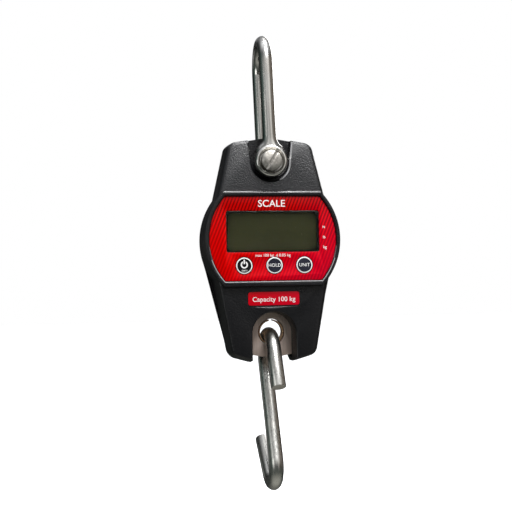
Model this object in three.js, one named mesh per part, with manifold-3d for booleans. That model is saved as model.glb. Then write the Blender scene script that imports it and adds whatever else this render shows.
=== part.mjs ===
// Hand-held crane scale: a shackle and screw pin carry a load cell plate inside a two-shell
// casing with a display, and an S-hook hangs in a split bush at the plate's lower end.
// Millimetres. +Z is up, -Y is the display side, +X is to the reader's right.
// The origin is the inside of the shackle's crown, where the scale hangs.
import * as THREE from 'three';
import { mergeVertices } from 'three/addons/utils/BufferGeometryUtils.js';
import Module from 'manifold-3d';

const wasm = await Module();
wasm.setup();

// ---- driving dimensions ------------------------------------------------------------
const PANEL_BELOW_CROWN = 111.2;   // height of the display centre under the origin
const REST_GAP = 0.1;              // clearance where two flat faces rest on each other
const FIT_GAP = 0.3;               // clearance round a piece in its seat

// casing outline, heights counted from the display centre
const MIDDLE_R = 39.6;             // round middle of the casing at the parting line
const TOP_FLANK = { foot: [32.4, 22], head: [25.3, 53.2] };
const TOP_CORNER = [21.8, 56.0];   // end of the sloping top edge
const TOP_RIDGE = [8, 58.2];       // flat part of the top edge
const LOWER_FLANK = { head: [32.6, -23.2], foot: [25.4, -62.6] };
const LOWER_CORNER = [22.6, -65.7];
const LOWER_TIP = [13.5, -68.3];
const PART_GAP = 0.15;             // half of the joint line between the shells
const DRAFT = 2.1;                 // how much smaller the outline is at the face
const WALL = 2;
const FACE_TOP_Y = 13;             // depth of the upper face at its top edge
const FACE_BEZEL_Y = 15.5;         // depth of the upper face at the bezel
const FACE_LOW_Y = 16.2;           // depth of the lower face
const REAR_LOW_Y = 15.5;

// display bezel: a disc cut flat above and below
const BEZEL = { r: 37.4, top: 26.2, bottom: -25.8, y: 19.5 };
const BEZEL_FOOT = { r: MIDDLE_R, top: 28.2, bottom: -27.6 };
const REAR_DISC = { r: 36.8, top: 25, bottom: -25 };
const PANEL = { r: 35, top: 23.3, bottom: -22.8, y: 18.5, thick: 0.7 };
const PLATE_Y = { front: 17.7, back: 15.7 };
const WINDOW = { x: 25.8, bottom: -7.3, top: 15.6 };

// shackle and pin
const PIN_Z = 43.3;
const LEG_Y = 15;                  // each leg's distance from the middle plane
const BAR_R = 3.85;
const SHACKLE_LEAN = THREE.MathUtils.degToRad(-1.65);
const EYE = { rMid: 9.3, rFace: 8, inner: 10.8, outer: 19.4 };
const NECK_FLATNESS = 0.68;        // the flared foot of each leg stays as thin as the eye
const PIN = { shankR: 4, headR: 5.7, headY: 20.3, slot: 1.3, slotAngle: -31.5 };
const PIN_SEAT_R = 6.4;

// capacity label in its shallow seat
const LABEL = {
  x: 14.2, bottom: -36.4, top: -29, r: 1.3,
  seatX: 14.5, seatBottom: -37.2, seatTop: -28.7, seatR: 1.4, seatDepth: 0.35,
};

// recess round each eye and slot round the hook
const RECESS = { r: 10.75, channelTop: 12.5, floorY: 6.3, pocketY: 5.2, backY: 3.9, wall: 1.7 };
const SLOT = { r: 12.2, rBack: 11.4, z: -52.1, wall: 1.7 };

// load cell
const CELL = { halfY: 3.5, halfX: 13, top: 54, bottom: -65.4 };
const HOOK_EYE_Z = -51.7;
const BUSH = { rIn: 6.3, rOut: 7.2, halfY: 3.2, split: 2.2, chamfer: 0.8 };
const CELL_EYE_R = 7.5;
const MOUTH_GAP = 0.3;             // the shells stay clear of the plate's lower edge
const CELL_BEAM = { x: 6.5, outX: 20, z: 12, slot: 1.2, holeX: 5.5, holeR: 4.2, open: 1.5 };
const CELL_CORNER = { r: 7, footX: 7, footRise: 0.3, sideRise: 1.4 };
const GAUGE = { x: 5.5, z: 6, size: [6, 0.3, 3] };

// S-hook: two bends in one plane
const HOOK = {
  barR: 4.2, bendR: 12.5, crownZ: -53.1, crownX: -0.8,
  frontTurn: 62, frontLength: 23.5, backTurn: 114.5, shank: 54.6, lowerR: 10.8, lowerTurn: 154, tip: 26,
  yaw: 4,
};

// keys, display stack and board
const KEYS = [['power', -16.3], ['hold', 0.4], ['unit', 17]];
const KEY = { z: -14.6, r: 4.55, hole: 4.9, flange: 5.2, front: 18.8, stemR: 1.5, gap: 0.8 };
const BOARD = { front: 10, back: 8.4, r: 34.2, top: 20.4, bottom: -21 };
const GLASS = { x: 28, bottom: -8.6, top: 19, front: 14.9, back: 12.1 };
const ON_BOARD = { size: [10, 1.5, 10], chipX: 22, chipZ: 8, buzzerR: 5, buzzerBack: -4.2 };
const BOARD_SCREWS = [[-31.2, 4], [31.2, 4], [-25.5, -17.3], [25.5, -17.3]];

// battery bay at the back
const CELL_AAA = { r: 5.25, length: 44.5, pitch: 11.4, y: 10.5 };
const TRAY = { x: 27, z: 18.4, front: 4, back: 15.2, wall: 1.1 };
const HUMP = { x: 33, top: 24, bottom: -22, y: 17.4 };
const GRIP = { halfX: 7, depth: 0.5, foot: 5, pitch: 2, count: 5 };
const DOOR = { x: 28, tongue: 29.2, top: 20.6, bottom: -21.6, inner: 15.9, step: 16.7, outer: 17.4 };

// screws
const CASE_SCREWS = [[-19.6, 46.5], [19.6, 46.5], [-19.2, -56.5], [19.2, -56.5]];
const CELL_SCREWS = [[-8, 26.6], [8, 26.6]];
const SCREW = {
  r: 1.25, hole: 1.6, headR: 2.7, headH: 1.9, boss: 3.2, boardBoss: 2.3, seatR: 3.1, seatY: 9,
  caseTip: -8.5, cellTip: -3,
};
const BOARD_SCREW = { headR: 2.1, headH: 1.4, r: 1, tip: -13.6 };

// ---- materials ----------------------------------------------------------------------
const finish = (color, roughness, metalness = 0) =>
  new THREE.MeshStandardMaterial({ color, roughness, metalness });
const BLACK_ABS = finish(0x2b2b2e, 0.62);
const RED_FILM = finish(0xc8101c, 0.25);
const STEEL = finish(0x9a9893, 0.25, 1);
const CELL_STEEL = finish(0x80766e, 0.45, 1);
const BRONZE = finish(0x8c6a4a, 0.35, 1);
const ZINC = finish(0xa8a8a4, 0.4, 1);
const CLEAR = finish(0x2a2a22, 0.1);
const KEY_BLACK = finish(0x16161c, 0.35);
const BOARD_GREEN = finish(0x1d5a35, 0.5);
const PLASTIC_WHITE = finish(0xe4e2da, 0.5);
const RUBBER = finish(0x303234, 0.8);
const BATTERY_SKIN = finish(0x3b5f7a, 0.35);
const GAUGE_FILM = finish(0xc08a3a, 0.4);

// ---- solids -------------------------------------------------------------------------
/** A closed three.js geometry as a manifold solid. */
function solid(geometry) {
  const bare = geometry.clone();
  bare.deleteAttribute('normal');
  bare.deleteAttribute('uv');
  const merged = mergeVertices(bare, 1e-4);
  return new wasm.Manifold(new wasm.Mesh({
    numProp: 3,
    vertProperties: new Float32Array(merged.attributes.position.array),
    triVerts: new Uint32Array(merged.index.array),
  }));
}

/** A manifold solid back as a three.js geometry. */
function surface(body) {
  const mesh = body.getMesh();
  const geometry = new THREE.BufferGeometry();
  geometry.setAttribute('position', new THREE.BufferAttribute(mesh.vertProperties, 3));
  geometry.setIndex(new THREE.BufferAttribute(mesh.triVerts, 1));
  geometry.computeVertexNormals();
  return geometry;
}

const cut = (body, ...tools) => tools.reduce((left, tool) => left.subtract(tool), body);
const join = (body, ...others) => others.reduce((sum, other) => sum.add(other), body);

/** A box between two corners. */
function block(x0, x1, y0, y1, z0, z1) {
  const geometry = new THREE.BoxGeometry(x1 - x0, y1 - y0, z1 - z0);
  return solid(geometry.translate((x0 + x1) / 2, (y0 + y1) / 2, (z0 + z1) / 2));
}

/** A round bar along Y; rEnd is the radius at y1 where it tapers. */
function bar(r, y0, y1, x = 0, z = 0, sides = 20, rEnd = r) {
  const geometry = new THREE.CylinderGeometry(rEnd, r, y1 - y0, sides);
  return solid(geometry.translate(x, (y0 + y1) / 2, z));
}

/** An outline in the X-Z plane extruded from y0 to y1. */
function slab(points, y0, y1) {
  const shape = new THREE.Shape(points);
  const geometry = new THREE.ExtrudeGeometry(shape, { depth: y1 - y0, bevelEnabled: false });
  return solid(geometry.rotateX(Math.PI / 2).translate(0, y1, 0));
}

/** A straight-sided body between two outlines with the same number of points. */
function loft(pointsA, yA, pointsB, yB) {
  const count = pointsA.length;
  const position = [...pointsA.flatMap((p) => [p.x, yA, p.y]), ...pointsB.flatMap((p) => [p.x, yB, p.y])];
  const index = [];
  for (let i = 0; i < count; i += 1) {
    const j = (i + 1) % count;
    index.push(i, j, count + j, i, count + j, count + i);
  }
  for (const [a, b, c] of THREE.ShapeUtils.triangulateShape(pointsA, [])) {
    index.push(c, b, a, count + a, count + b, count + c);
  }
  if ((yB > yA) === THREE.ShapeUtils.isClockWise(pointsA)) index.reverse();
  const geometry = new THREE.BufferGeometry();
  geometry.setAttribute('position', new THREE.BufferAttribute(new Float32Array(position), 3));
  geometry.setIndex(index);
  const body = solid(geometry);
  return body.volume() > 0 ? body : solid(geometry.setIndex(index.reverse()));
}

/** A body turned about the Y axis through (x, z), its profile given as [radius, y] pairs. */
function turned(profile, x = 0, z = 0, sides = 32) {
  const points = profile.map(([r, y]) => new THREE.Vector2(r, y));
  return solid(new THREE.LatheGeometry(points, sides).translate(x, 0, z));
}

/** A round bar along a curve. */
function bentBar(curve, r, steps, sides = 12) {
  const section = new THREE.Shape(arc(0, 0, r, 0, 360, sides).slice(0, -1));
  return solid(new THREE.ExtrudeGeometry(section, { steps, extrudePath: curve, bevelEnabled: false }));
}

/** Reflects a body in the middle plane, front to back. */
const toRear = (body) => body.mirror([0, 1, 0]);

/** Points of a circular arc, angles in degrees. */
function arc(x, z, r, from, to, steps) {
  return Array.from({ length: steps + 1 }, (_, i) => {
    const angle = THREE.MathUtils.degToRad(from + ((to - from) * i) / steps);
    return new THREE.Vector2(x + r * Math.cos(angle), z + r * Math.sin(angle));
  });
}

/** A rounded rectangle in the X-Z plane. */
function roundedRect(x0, x1, z0, z1, r, steps = 4) {
  return [
    ...arc(x1 - r, z1 - r, r, 0, 90, steps), ...arc(x0 + r, z1 - r, r, 90, 180, steps),
    ...arc(x0 + r, z0 + r, r, 180, 270, steps), ...arc(x1 - r, z0 + r, r, 270, 360, steps),
  ];
}

/** Outline of the whole casing, drawn in by inset all round. */
function casingOutline(inset) {
  const r = MIDDLE_R - inset;
  const at = ([x, z], dx = inset, dz = 0) => new THREE.Vector2(x - dx, z + dz);
  const sideAngle = (z) => THREE.MathUtils.radToDeg(Math.asin(z / r));
  const half = [
    at(LOWER_TIP, inset * 0.3, inset), at(LOWER_CORNER, inset * 0.9, inset),
    at(LOWER_FLANK.foot, inset, inset * 0.4),
    at(LOWER_FLANK.head),
    ...arc(0, -0.6, r, sideAngle(LOWER_FLANK.head[1]) + 1.5, sideAngle(TOP_FLANK.foot[1]) - 1.5, 12),
    at(TOP_FLANK.foot), at(TOP_FLANK.head), at(TOP_CORNER, inset * 0.8, -inset), at(TOP_RIDGE, 0, -inset),
  ];
  return [...half, ...half.map((p) => new THREE.Vector2(-p.x, p.y)).reverse()];
}

/** A disc of radius r cut flat at two heights. */
function flattenedDisc({ r, top, bottom }, grow = 0) {
  const side = (z) => THREE.MathUtils.radToDeg(Math.asin(z / (r + grow)));
  const right = arc(0, 0, r + grow, side(bottom - grow), side(top + grow), 14);
  return [...right, ...right.map((p) => new THREE.Vector2(-p.x, p.y)).reverse()];
}

/** Keyhole round a shackle eye: a circle with a channel that widens to the casing's top. */
function keyhole(grow = 0) {
  const r = RECESS.r + grow;
  const end = new THREE.Vector2(RECESS.channelTop + grow, TOP_RIDGE[1] + 6);
  const lower = arc(0, PIN_Z, r, -180, 0, 18);
  return [...lower, end, new THREE.Vector2(-end.x, end.y)];
}

/** Arch of the hook slot, open at the casing's lower edge. */
function arch(r) {
  const low = LOWER_TIP[1] - 8;
  return [...arc(0, SLOT.z, r, 0, 180, 18), new THREE.Vector2(-r, low), new THREE.Vector2(r, low)];
}

/** Everything in front of the sloping upper face, moved back by depth. */
function aboveUpperFace(depth = 0) {
  const front = -40;
  const side = 60;
  const low = BEZEL.top - 6;
  const high = TOP_RIDGE[1] + 6;
  const slope = (FACE_BEZEL_Y - FACE_TOP_Y) / (BEZEL.top - TOP_RIDGE[1]);
  const faceY = (z) => -(FACE_TOP_Y + slope * (z - TOP_RIDGE[1])) + depth;
  const shape = new THREE.Shape([
    new THREE.Vector2(front, low), new THREE.Vector2(faceY(low), low),
    new THREE.Vector2(faceY(high), high), new THREE.Vector2(front, high),
  ]);
  const geometry = new THREE.ExtrudeGeometry(shape, { depth: 2 * side, bevelEnabled: false });
  const turn = new THREE.Matrix4().makeBasis(
    new THREE.Vector3(0, 1, 0), new THREE.Vector3(0, 0, 1), new THREE.Vector3(1, 0, 0));
  return solid(geometry.applyMatrix4(turn).translate(-side, 0, 0));
}

// ---- casing shells ------------------------------------------------------------------
/** Shell without its own features: drafted body, hollow, recess, slot and screw bosses. */
function shellBlank(lowFaceY, disc, discFoot, discY, plateBackY) {
  const outer = cut(loft(casingOutline(0), -PART_GAP, casingOutline(DRAFT), -lowFaceY), aboveUpperFace());
  const dome = loft(flattenedDisc(discFoot, -0.4), -PART_GAP, flattenedDisc(disc), -discY);
  const hollow = cut(
    loft(casingOutline(WALL), 1, casingOutline(WALL + DRAFT), -(lowFaceY - WALL)), aboveUpperFace(WALL));
  const domeHollow = loft(flattenedDisc(discFoot, -WALL - 0.6), 1, flattenedDisc(disc, -WALL), -plateBackY);
  const recessWall = slab(keyhole(RECESS.wall), -lowFaceY, -RECESS.backY);
  const slotWall = slab(arch(SLOT.r + SLOT.wall), -lowFaceY, -RECESS.backY);
  const inside = cut(join(hollow, domeHollow), recessWall, slotWall);
  const channel = slab(keyhole(), -25, -RECESS.floorY);
  const pocket = bar(RECESS.r, -25, -RECESS.pocketY, 0, PIN_Z, 36);
  const slot = loft(arch(SLOT.r), -lowFaceY - 0.01, arch(SLOT.rBack), -RECESS.backY + 0.01);
  const pinHole = bar(7, -10, 2, 0, PIN_Z);
  const mouth = block(
    -SLOT.rBack, SLOT.rBack, -RECESS.backY - 0.1, 1, LOWER_TIP[1] - 2, CELL.bottom - MOUTH_GAP);
  return cut(join(outer, dome), inside, channel, pocket, slot, pinHole, mouth);
}

function frontCover() {
  const blank = shellBlank(FACE_LOW_Y, BEZEL, BEZEL_FOOT, BEZEL.y, PLATE_Y.back);
  const panelSeat = slab(flattenedDisc(PANEL, FIT_GAP), -30, -PLATE_Y.front);
  const window = block(-WINDOW.x, WINDOW.x, -30, -10, WINDOW.bottom, WINDOW.top);
  const keyHoles = KEYS.map(([, x]) => bar(KEY.hole, -30, -10, x, KEY.z, 24));
  const caseBosses = CASE_SCREWS.map(([x, z]) => bar(SCREW.boss, -12.6, -PART_GAP, x, z, 16));
  const boardBosses = BOARD_SCREWS.map(([x, z]) => (
    bar(SCREW.boardBoss, -PLATE_Y.back - 0.5, -BOARD.front - REST_GAP, x, z, 14)));
  const pilots = [
    ...CASE_SCREWS.map(([x, z]) => bar(SCREW.hole, -10, 1, x, z, 12)),
    ...BOARD_SCREWS.map(([x, z]) => bar(SCREW.hole - 0.3, -15, -9, x, z, 10)),
  ];
  const { seatX, seatBottom, seatTop, seatR, seatDepth } = LABEL;
  const labelOutline = roundedRect(-seatX, seatX, seatBottom, seatTop, seatR, 3);
  const labelSeat = slab(labelOutline, -30, -FACE_LOW_Y + seatDepth);
  const body = join(cut(blank, panelSeat, window, ...keyHoles), ...caseBosses, ...boardBosses);
  return surface(cut(body, ...pilots, labelSeat));
}

function rearCover() {
  const inner = REAR_LOW_Y - WALL;
  const blank = toRear(shellBlank(REAR_LOW_Y, REAR_DISC, BEZEL_FOOT, REAR_LOW_Y, inner));
  const hump = loft(
    roundedRect(-HUMP.x, HUMP.x, HUMP.bottom, HUMP.top, 4), REAR_LOW_Y - WALL,
    roundedRect(-HUMP.x + 0.8, HUMP.x - 0.8, HUMP.bottom + 0.8, HUMP.top - 0.8, 3.4), HUMP.y);
  const bay = block(-TRAY.x - FIT_GAP, TRAY.x + FIT_GAP, 0, 30, -TRAY.z - FIT_GAP, TRAY.z + FIT_GAP);
  const low = HUMP.bottom - 5;
  const doorTrack = (x, deep) => (
    block(-x - FIT_GAP, x + FIT_GAP, DOOR.inner - FIT_GAP, deep, low, DOOR.top + FIT_GAP));
  const doorFace = doorTrack(DOOR.x, 30);
  const doorGroove = doorTrack(DOOR.tongue, DOOR.step + 0.2);
  const posts = CASE_SCREWS.map(([x, z]) => bar(SCREW.boss + 1, PART_GAP, 13, x, z, 16));
  const cellPosts = CELL_SCREWS.map(([x, z]) => bar(SCREW.boss, CELL.halfY + REST_GAP, 14, x, z, 16));
  const screws = [...CASE_SCREWS, ...CELL_SCREWS];
  const holes = screws.map(([x, z]) => bar(SCREW.hole, -1, 20, x, z, 12));
  const seats = screws.map(([x, z]) => bar(SCREW.seatR, SCREW.seatY, 30, x, z, 18));
  const humpShell = cut(hump, block(-50, 50, 0, REAR_LOW_Y - WALL + 0.01, -50, 50));
  const body = join(blank, humpShell, ...posts, ...cellPosts);
  return surface(cut(body, bay, doorFace, doorGroove, ...holes, ...seats));
}

// ---- shackle, pin, hook -------------------------------------------------------------
/** One eye of the shackle on the front side, with a bevelled face and a shoulder. */
function shackleEye(seatDepth) {
  const { rMid, rFace, inner, outer } = EYE;
  const ring = turned([
    [0, -outer], [rFace, -outer], [rFace + 0.9, -outer + 0.9], [rMid, -outer + 2.4],
    [rMid, -inner - 1.2], [rMid - 0.8, -inner], [0, -inner],
  ]);
  const tools = [bar(PIN.shankR + FIT_GAP, -outer - 1, -inner + 1)];
  if (seatDepth > 0) {
    tools.push(bar(PIN_SEAT_R, -outer - 1, -outer + seatDepth, 0, 0, 28));
    tools.push(bar(PIN_SEAT_R + 1.6, -outer - 0.5, -outer + 0.9, 0, 0, 28, PIN_SEAT_R - 0.2));
  }
  return { ring, tools };
}

/** U-shaped bow with its two eyes, in the pin's own frame. */
function shackleBow() {
  const crown = PANEL_BELOW_CROWN - PIN_Z + BAR_R;
  const bendZ = crown - LEG_Y;
  const foot = EYE.rMid - 3;
  const path = new THREE.CurvePath();
  const onLeg = (side, z) => new THREE.Vector3(0, side * LEG_Y, z);
  path.add(new THREE.LineCurve3(onLeg(-1, foot), onLeg(-1, bendZ)));
  class Crown extends THREE.Curve {
    getPoint(t, target = new THREE.Vector3()) {
      const angle = Math.PI * (1 - t);
      return target.set(0, LEG_Y * Math.cos(angle), bendZ + LEG_Y * Math.sin(angle));
    }
  }
  path.add(new Crown());
  path.add(new THREE.LineCurve3(onLeg(1, bendZ), onLeg(1, foot)));
  const bow = bentBar(path, BAR_R, 34, 14);
  const neck = (side) => solid(new THREE.CylinderGeometry(BAR_R - 0.1, BAR_R + 2.2, 7, 20)
    .rotateX(Math.PI / 2).scale(1, NECK_FLATNESS, 1).translate(0, side * LEG_Y, EYE.rMid + 1));
  const front = shackleEye(3.4);
  const rear = shackleEye(0);
  const body = join(bow, neck(-1), neck(1), front.ring, toRear(rear.ring));
  return surface(cut(body, ...front.tools, ...rear.tools.map(toRear)));
}

/** Slotted screw pin in its own frame. */
function shacklePin() {
  const shoulder = EYE.outer - 3.1;
  const body = turned([
    [0, -PIN.headY], [PIN.headR - 0.6, -PIN.headY], [PIN.headR, -PIN.headY + 0.6], [PIN.headR, -shoulder],
    [PIN.shankR, -shoulder], [PIN.shankR, EYE.outer - 0.8], [PIN.shankR - 0.6, EYE.outer - 0.2],
    [0, EYE.outer - 0.2],
  ]);
  const slot = new THREE.BoxGeometry(PIN.slot, 2.4, 14).rotateY(THREE.MathUtils.degToRad(-PIN.slotAngle));
  return surface(cut(body, solid(slot.translate(0, -PIN.headY + 0.2, 0))));
}

/** Centre line of the S-hook in its own plane: crown at the origin, front is -Y. */
function hookPath() {
  const rad = THREE.MathUtils.degToRad;
  const point = (y, z) => new THREE.Vector3(0, y, z);
  const { bendR, lowerR, frontTurn, frontLength, backTurn, shank, lowerTurn, tip } = HOOK;
  const onUpper = (a) => point(bendR * Math.sin(a), bendR * (Math.cos(a) - 1));
  const frontEnd = onUpper(-rad(frontTurn));
  const frontDir = point(-Math.cos(rad(frontTurn)), -Math.sin(rad(frontTurn)));
  const backEnd = onUpper(rad(backTurn));
  const backDir = point(Math.cos(rad(backTurn)), -Math.sin(rad(backTurn)));
  const shankEnd = backEnd.clone().addScaledVector(backDir, shank);
  const heading = Math.atan2(backDir.z, backDir.y);
  const side = point(-Math.sin(heading), Math.cos(heading));
  const centre = shankEnd.clone().addScaledVector(side, lowerR);
  const onLower = (a) => centre.clone()
    .add(point(lowerR * Math.sin(heading + a), -lowerR * Math.cos(heading + a)));
  const last = rad(lowerTurn);
  const tipDir = point(Math.cos(heading + last), Math.sin(heading + last));
  const bend = (fn) => Object.assign(new THREE.Curve(), { getPoint: fn });
  const path = new THREE.CurvePath();
  path.add(new THREE.LineCurve3(frontEnd.clone().addScaledVector(frontDir, frontLength), frontEnd));
  path.add(bend((t) => onUpper(rad(-frontTurn + t * (frontTurn + backTurn)))));
  path.add(new THREE.LineCurve3(backEnd, shankEnd));
  path.add(bend((t) => onLower(t * last)));
  path.add(new THREE.LineCurve3(onLower(last), onLower(last).addScaledVector(tipDir, tip)));
  return path;
}

// ---- load cell ----------------------------------------------------------------------
function loadCell() {
  const { halfX, halfY, top, bottom } = CELL;
  const { r, footX, footRise, sideRise } = CELL_CORNER;
  const lower = [[-halfX, sideRise], [-footX, footRise], [0, 0], [footX, footRise], [halfX, sideRise]];
  const outline = [
    ...arc(halfX - r, top - r, r, 0, 90, 6), ...arc(-halfX + r, top - r, r, 90, 180, 6),
    ...lower.map(([x, rise]) => new THREE.Vector2(x, bottom + rise)),
  ];
  const { x: beamX, outX, z: beamZ, slot, holeX, holeR, open } = CELL_BEAM;
  const beamSlots = [[-outX, beamX, beamZ], [-beamX, outX, -beamZ]]
    .map(([x0, x1, z]) => block(x0, x1, -9, 9, z - slot, z + slot));
  const beamHoles = [-holeX, holeX].map((x) => bar(holeR, -9, 9, x, 0, 20));
  const screwHoles = CELL_SCREWS.map(([x, z]) => bar(SCREW.hole, -9, 9, x, z, 12));
  return surface(cut(
    slab(outline, -halfY, halfY), bar(5.6, -9, 9, 0, PIN_Z), bar(CELL_EYE_R, -9, 9, 0, HOOK_EYE_Z, 36),
    block(-holeX, holeX, -9, 9, -open, open), ...beamSlots, ...beamHoles, ...screwHoles));
}

/** Split bush with bevelled bore ends; the split faces up. */
function eyeBush() {
  const { rIn, rOut, halfY, split, chamfer } = BUSH;
  const ring = turned([
    [rIn + chamfer, -halfY], [rOut - 0.15, -halfY], [rOut, -halfY + 0.3], [rOut, halfY - 0.3],
    [rOut - 0.15, halfY], [rIn + chamfer, halfY], [rIn, halfY - chamfer], [rIn, -halfY + chamfer],
    [rIn + chamfer, -halfY],
  ], 0, 0, 36);
  return surface(cut(ring, block(-split / 2, split / 2, -9, 9, 0, 20)));
}

// ---- display stack, keys, board -------------------------------------------------------
function graphicPanel() {
  const sheet = slab(flattenedDisc(PANEL), -PANEL.y, -PANEL.y + PANEL.thick);
  const opening = block(-WINDOW.x, WINDOW.x, -30, -10, WINDOW.bottom, WINDOW.top);
  return surface(cut(sheet, opening, ...KEYS.map(([, x]) => bar(KEY.hole, -30, -10, x, KEY.z, 24))));
}

/** Key cap: face, retaining flange behind the plate, and a stem over its switch. */
function keyCap() {
  const flangeFront = PLATE_Y.back - 0.4;
  const face = turned([
    [0, -KEY.front], [KEY.r - 0.4, -KEY.front], [KEY.r, -KEY.front + 0.4], [KEY.r, -flangeFront],
    [KEY.flange, -flangeFront], [KEY.flange, -flangeFront + 0.7], [KEY.stemR, -flangeFront + 0.7],
    [KEY.stemR, -BOARD.front - 3.5 - KEY.gap], [0, -BOARD.front - 3.5 - KEY.gap],
  ], 0, 0, 20);
  return surface(face);
}

function keySwitch() {
  const y = -BOARD.front - REST_GAP;
  return surface(join(block(-3, 3, y - 2.6, y, -3, 3), bar(1.7, y - 3.4, y - 2.5, 0, 0, 16)));
}

function mainBoard() {
  const board = slab(flattenedDisc(BOARD), -BOARD.front, -BOARD.back);
  return surface(cut(board, ...BOARD_SCREWS.map(([x, z]) => bar(SCREW.hole, -12, -5, x, z, 12))));
}

/** Pan-head screw: head at headY, shank towards the front to tipY. */
function screw(headR, headH, r, headY, tipY) {
  const body = turned([
    [0, headY + headH], [headR - 0.7, headY + headH], [headR, headY + headH - 0.8], [headR, headY],
    [r, headY], [r, tipY + 1], [r * 0.4, tipY], [0, tipY],
  ].reverse(), 0, 0, 10);
  const blade = (w, d) => block(-w, w, headY + headH - 0.9, headY + headH + 1, -d, d);
  return surface(cut(body, blade(0.3, headR * 0.6), blade(headR * 0.6, 0.3)));
}

// ---- battery bay ----------------------------------------------------------------------
function batteryTray() {
  const { x, z, front, back, wall } = TRAY;
  const inside = block(-x + wall, x - wall, front + 1, 30, -z + wall, z - wall);
  return surface(cut(block(-x, x, front, back, -z, z), inside));
}

/** Small round cell lying along X, its raised terminal at +X. */
function battery() {
  const { r, length } = CELL_AAA;
  const neck = length - 0.8;
  const profile = [
    [0, 0], [r - 0.5, 0], [r, 0.6], [r, neck - 0.6], [r - 0.6, neck], [1.9, neck], [1.9, length], [0, length],
  ];
  const points = profile.map(([radius, along]) => new THREE.Vector2(radius, along));
  return new THREE.LatheGeometry(points, 18).rotateZ(-Math.PI / 2).translate(-length / 2, 0, 0);
}

/** Cone-shaped outline of a contact spring, coil lying along X. */
function springContact() {
  const x = -CELL_AAA.length / 2 - REST_GAP;
  const points = [[0, 0], [3.6, 0], [2.2, 2.2], [0, 2.2]].map(([r, a]) => new THREE.Vector2(r, a));
  return new THREE.LatheGeometry(points, 16).rotateZ(-Math.PI / 2).translate(x - 2.2, 0, 0);
}

function batteryDoor() {
  const { x, tongue, top, bottom, inner, step, outer } = DOOR;
  const tongues = block(-tongue, tongue, inner, step - 0.1, bottom + 1, top - 1);
  const plate = join(slab(roundedRect(-x, x, bottom, top, 1.2, 2), inner, outer), tongues);
  const { halfX, depth, foot, pitch, count } = GRIP;
  const ridges = Array.from({ length: count }, (_, i) => bottom + foot + i * pitch)
    .map((z) => block(-halfX, halfX, outer - depth, outer + 1, z, z + pitch / 2));
  return surface(cut(plate, ...ridges));
}

// ---- leads -----------------------------------------------------------------------------
/** A thin lead through a few points. */
function lead(points, r = 0.7, steps = 14) {
  const curve = new THREE.CatmullRomCurve3(points.map(([x, y, z]) => new THREE.Vector3(x, y, z)));
  return surface(bentBar(curve, r, steps, 8));
}

// ---- assembly --------------------------------------------------------------------------
const scale = new THREE.Group();
const casing = new THREE.Group();
casing.position.z = -PANEL_BELOW_CROWN;
casing.position.x = Math.tan(-SHACKLE_LEAN) * (PANEL_BELOW_CROWN - PIN_Z);
scale.add(casing);

/** Adds one named piece to a group at a place. */
function place(group, name, geometry, material, [x, y, z] = [0, 0, 0]) {
  const mesh = new THREE.Mesh(geometry, material);
  mesh.name = name;
  mesh.position.set(x, y, z);
  group.add(mesh);
  return mesh;
}

function addShackle() {
  const shackle = new THREE.Group();
  shackle.position.z = PIN_Z;
  shackle.rotation.y = SHACKLE_LEAN;
  casing.add(shackle);
  place(shackle, 'shackle_bow', shackleBow(), STEEL);
  place(shackle, 'shackle_pin', shacklePin(), STEEL);
}

function addLoadCell() {
  place(casing, 'load_cell', loadCell(), CELL_STEEL);
  const pinBush = surface(cut(bar(5.3, -3.4, 3.4), bar(PIN.shankR + FIT_GAP, -9, 9)));
  place(casing, 'pin_bush', pinBush, BRONZE, [0, 0, PIN_Z]);
  const spacer = cut(bar(6.4, -EYE.inner + 0.2, -CELL.halfY - 0.2), bar(PIN.shankR + FIT_GAP, -20, 20));
  place(casing, 'pin_spacer_front', surface(spacer), ZINC, [0, 0, PIN_Z]);
  place(casing, 'pin_spacer_rear', surface(toRear(spacer)), ZINC, [0, 0, PIN_Z]);
  place(casing, 'eye_bush', eyeBush(), BRONZE, [0, 0, HOOK_EYE_Z]);
  const gaugeFace = -CELL.halfY - REST_GAP;
  [[-1, 1], [1, 1], [-1, -1], [1, -1]].forEach(([side, level], i) => {
    const centre = [side * GAUGE.x, gaugeFace - GAUGE.size[1] / 2, level * GAUGE.z];
    place(casing, `strain_gauge_${i + 1}`, new THREE.BoxGeometry(...GAUGE.size), GAUGE_FILM, centre);
  });
  const gaugeLead = lead([[-9.6, -5.2, 6], [-16, -5.6, 8], [-20, -5.8, 12], [-21, -7.4, 14]]);
  place(casing, 'gauge_lead', gaugeLead, PLASTIC_WHITE);
}

function addHook() {
  const hook = new THREE.Group();
  hook.position.set(HOOK.crownX, 0, HOOK.crownZ);
  hook.rotation.z = THREE.MathUtils.degToRad(HOOK.yaw);
  casing.add(hook);
  place(hook, 's_hook', surface(bentBar(hookPath(), HOOK.barR, 46, 14)), STEEL);
}

function addCasing() {
  const caseScrew = (tip) => screw(SCREW.headR, SCREW.headH, SCREW.r, SCREW.seatY + REST_GAP, tip);
  place(casing, 'front_cover', frontCover(), BLACK_ABS);
  place(casing, 'rear_cover', rearCover(), BLACK_ABS);
  place(casing, 'graphic_panel', graphicPanel(), RED_FILM);
  const labelOutline = roundedRect(-LABEL.x, LABEL.x, LABEL.bottom, LABEL.top, LABEL.r, 3);
  const label = slab(labelOutline, -FACE_LOW_Y - 0.05, -FACE_LOW_Y + LABEL.seatDepth - 0.1);
  place(casing, 'capacity_label', surface(label), RED_FILM);
  CASE_SCREWS.forEach(([x, z], i) => {
    place(casing, `case_screw_${i + 1}`, caseScrew(SCREW.caseTip), ZINC, [x, 0, z]);
  });
  CELL_SCREWS.forEach(([x, z], i) => {
    place(casing, `cell_screw_${i + 1}`, caseScrew(SCREW.cellTip), ZINC, [x, 0, z]);
  });
}

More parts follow.
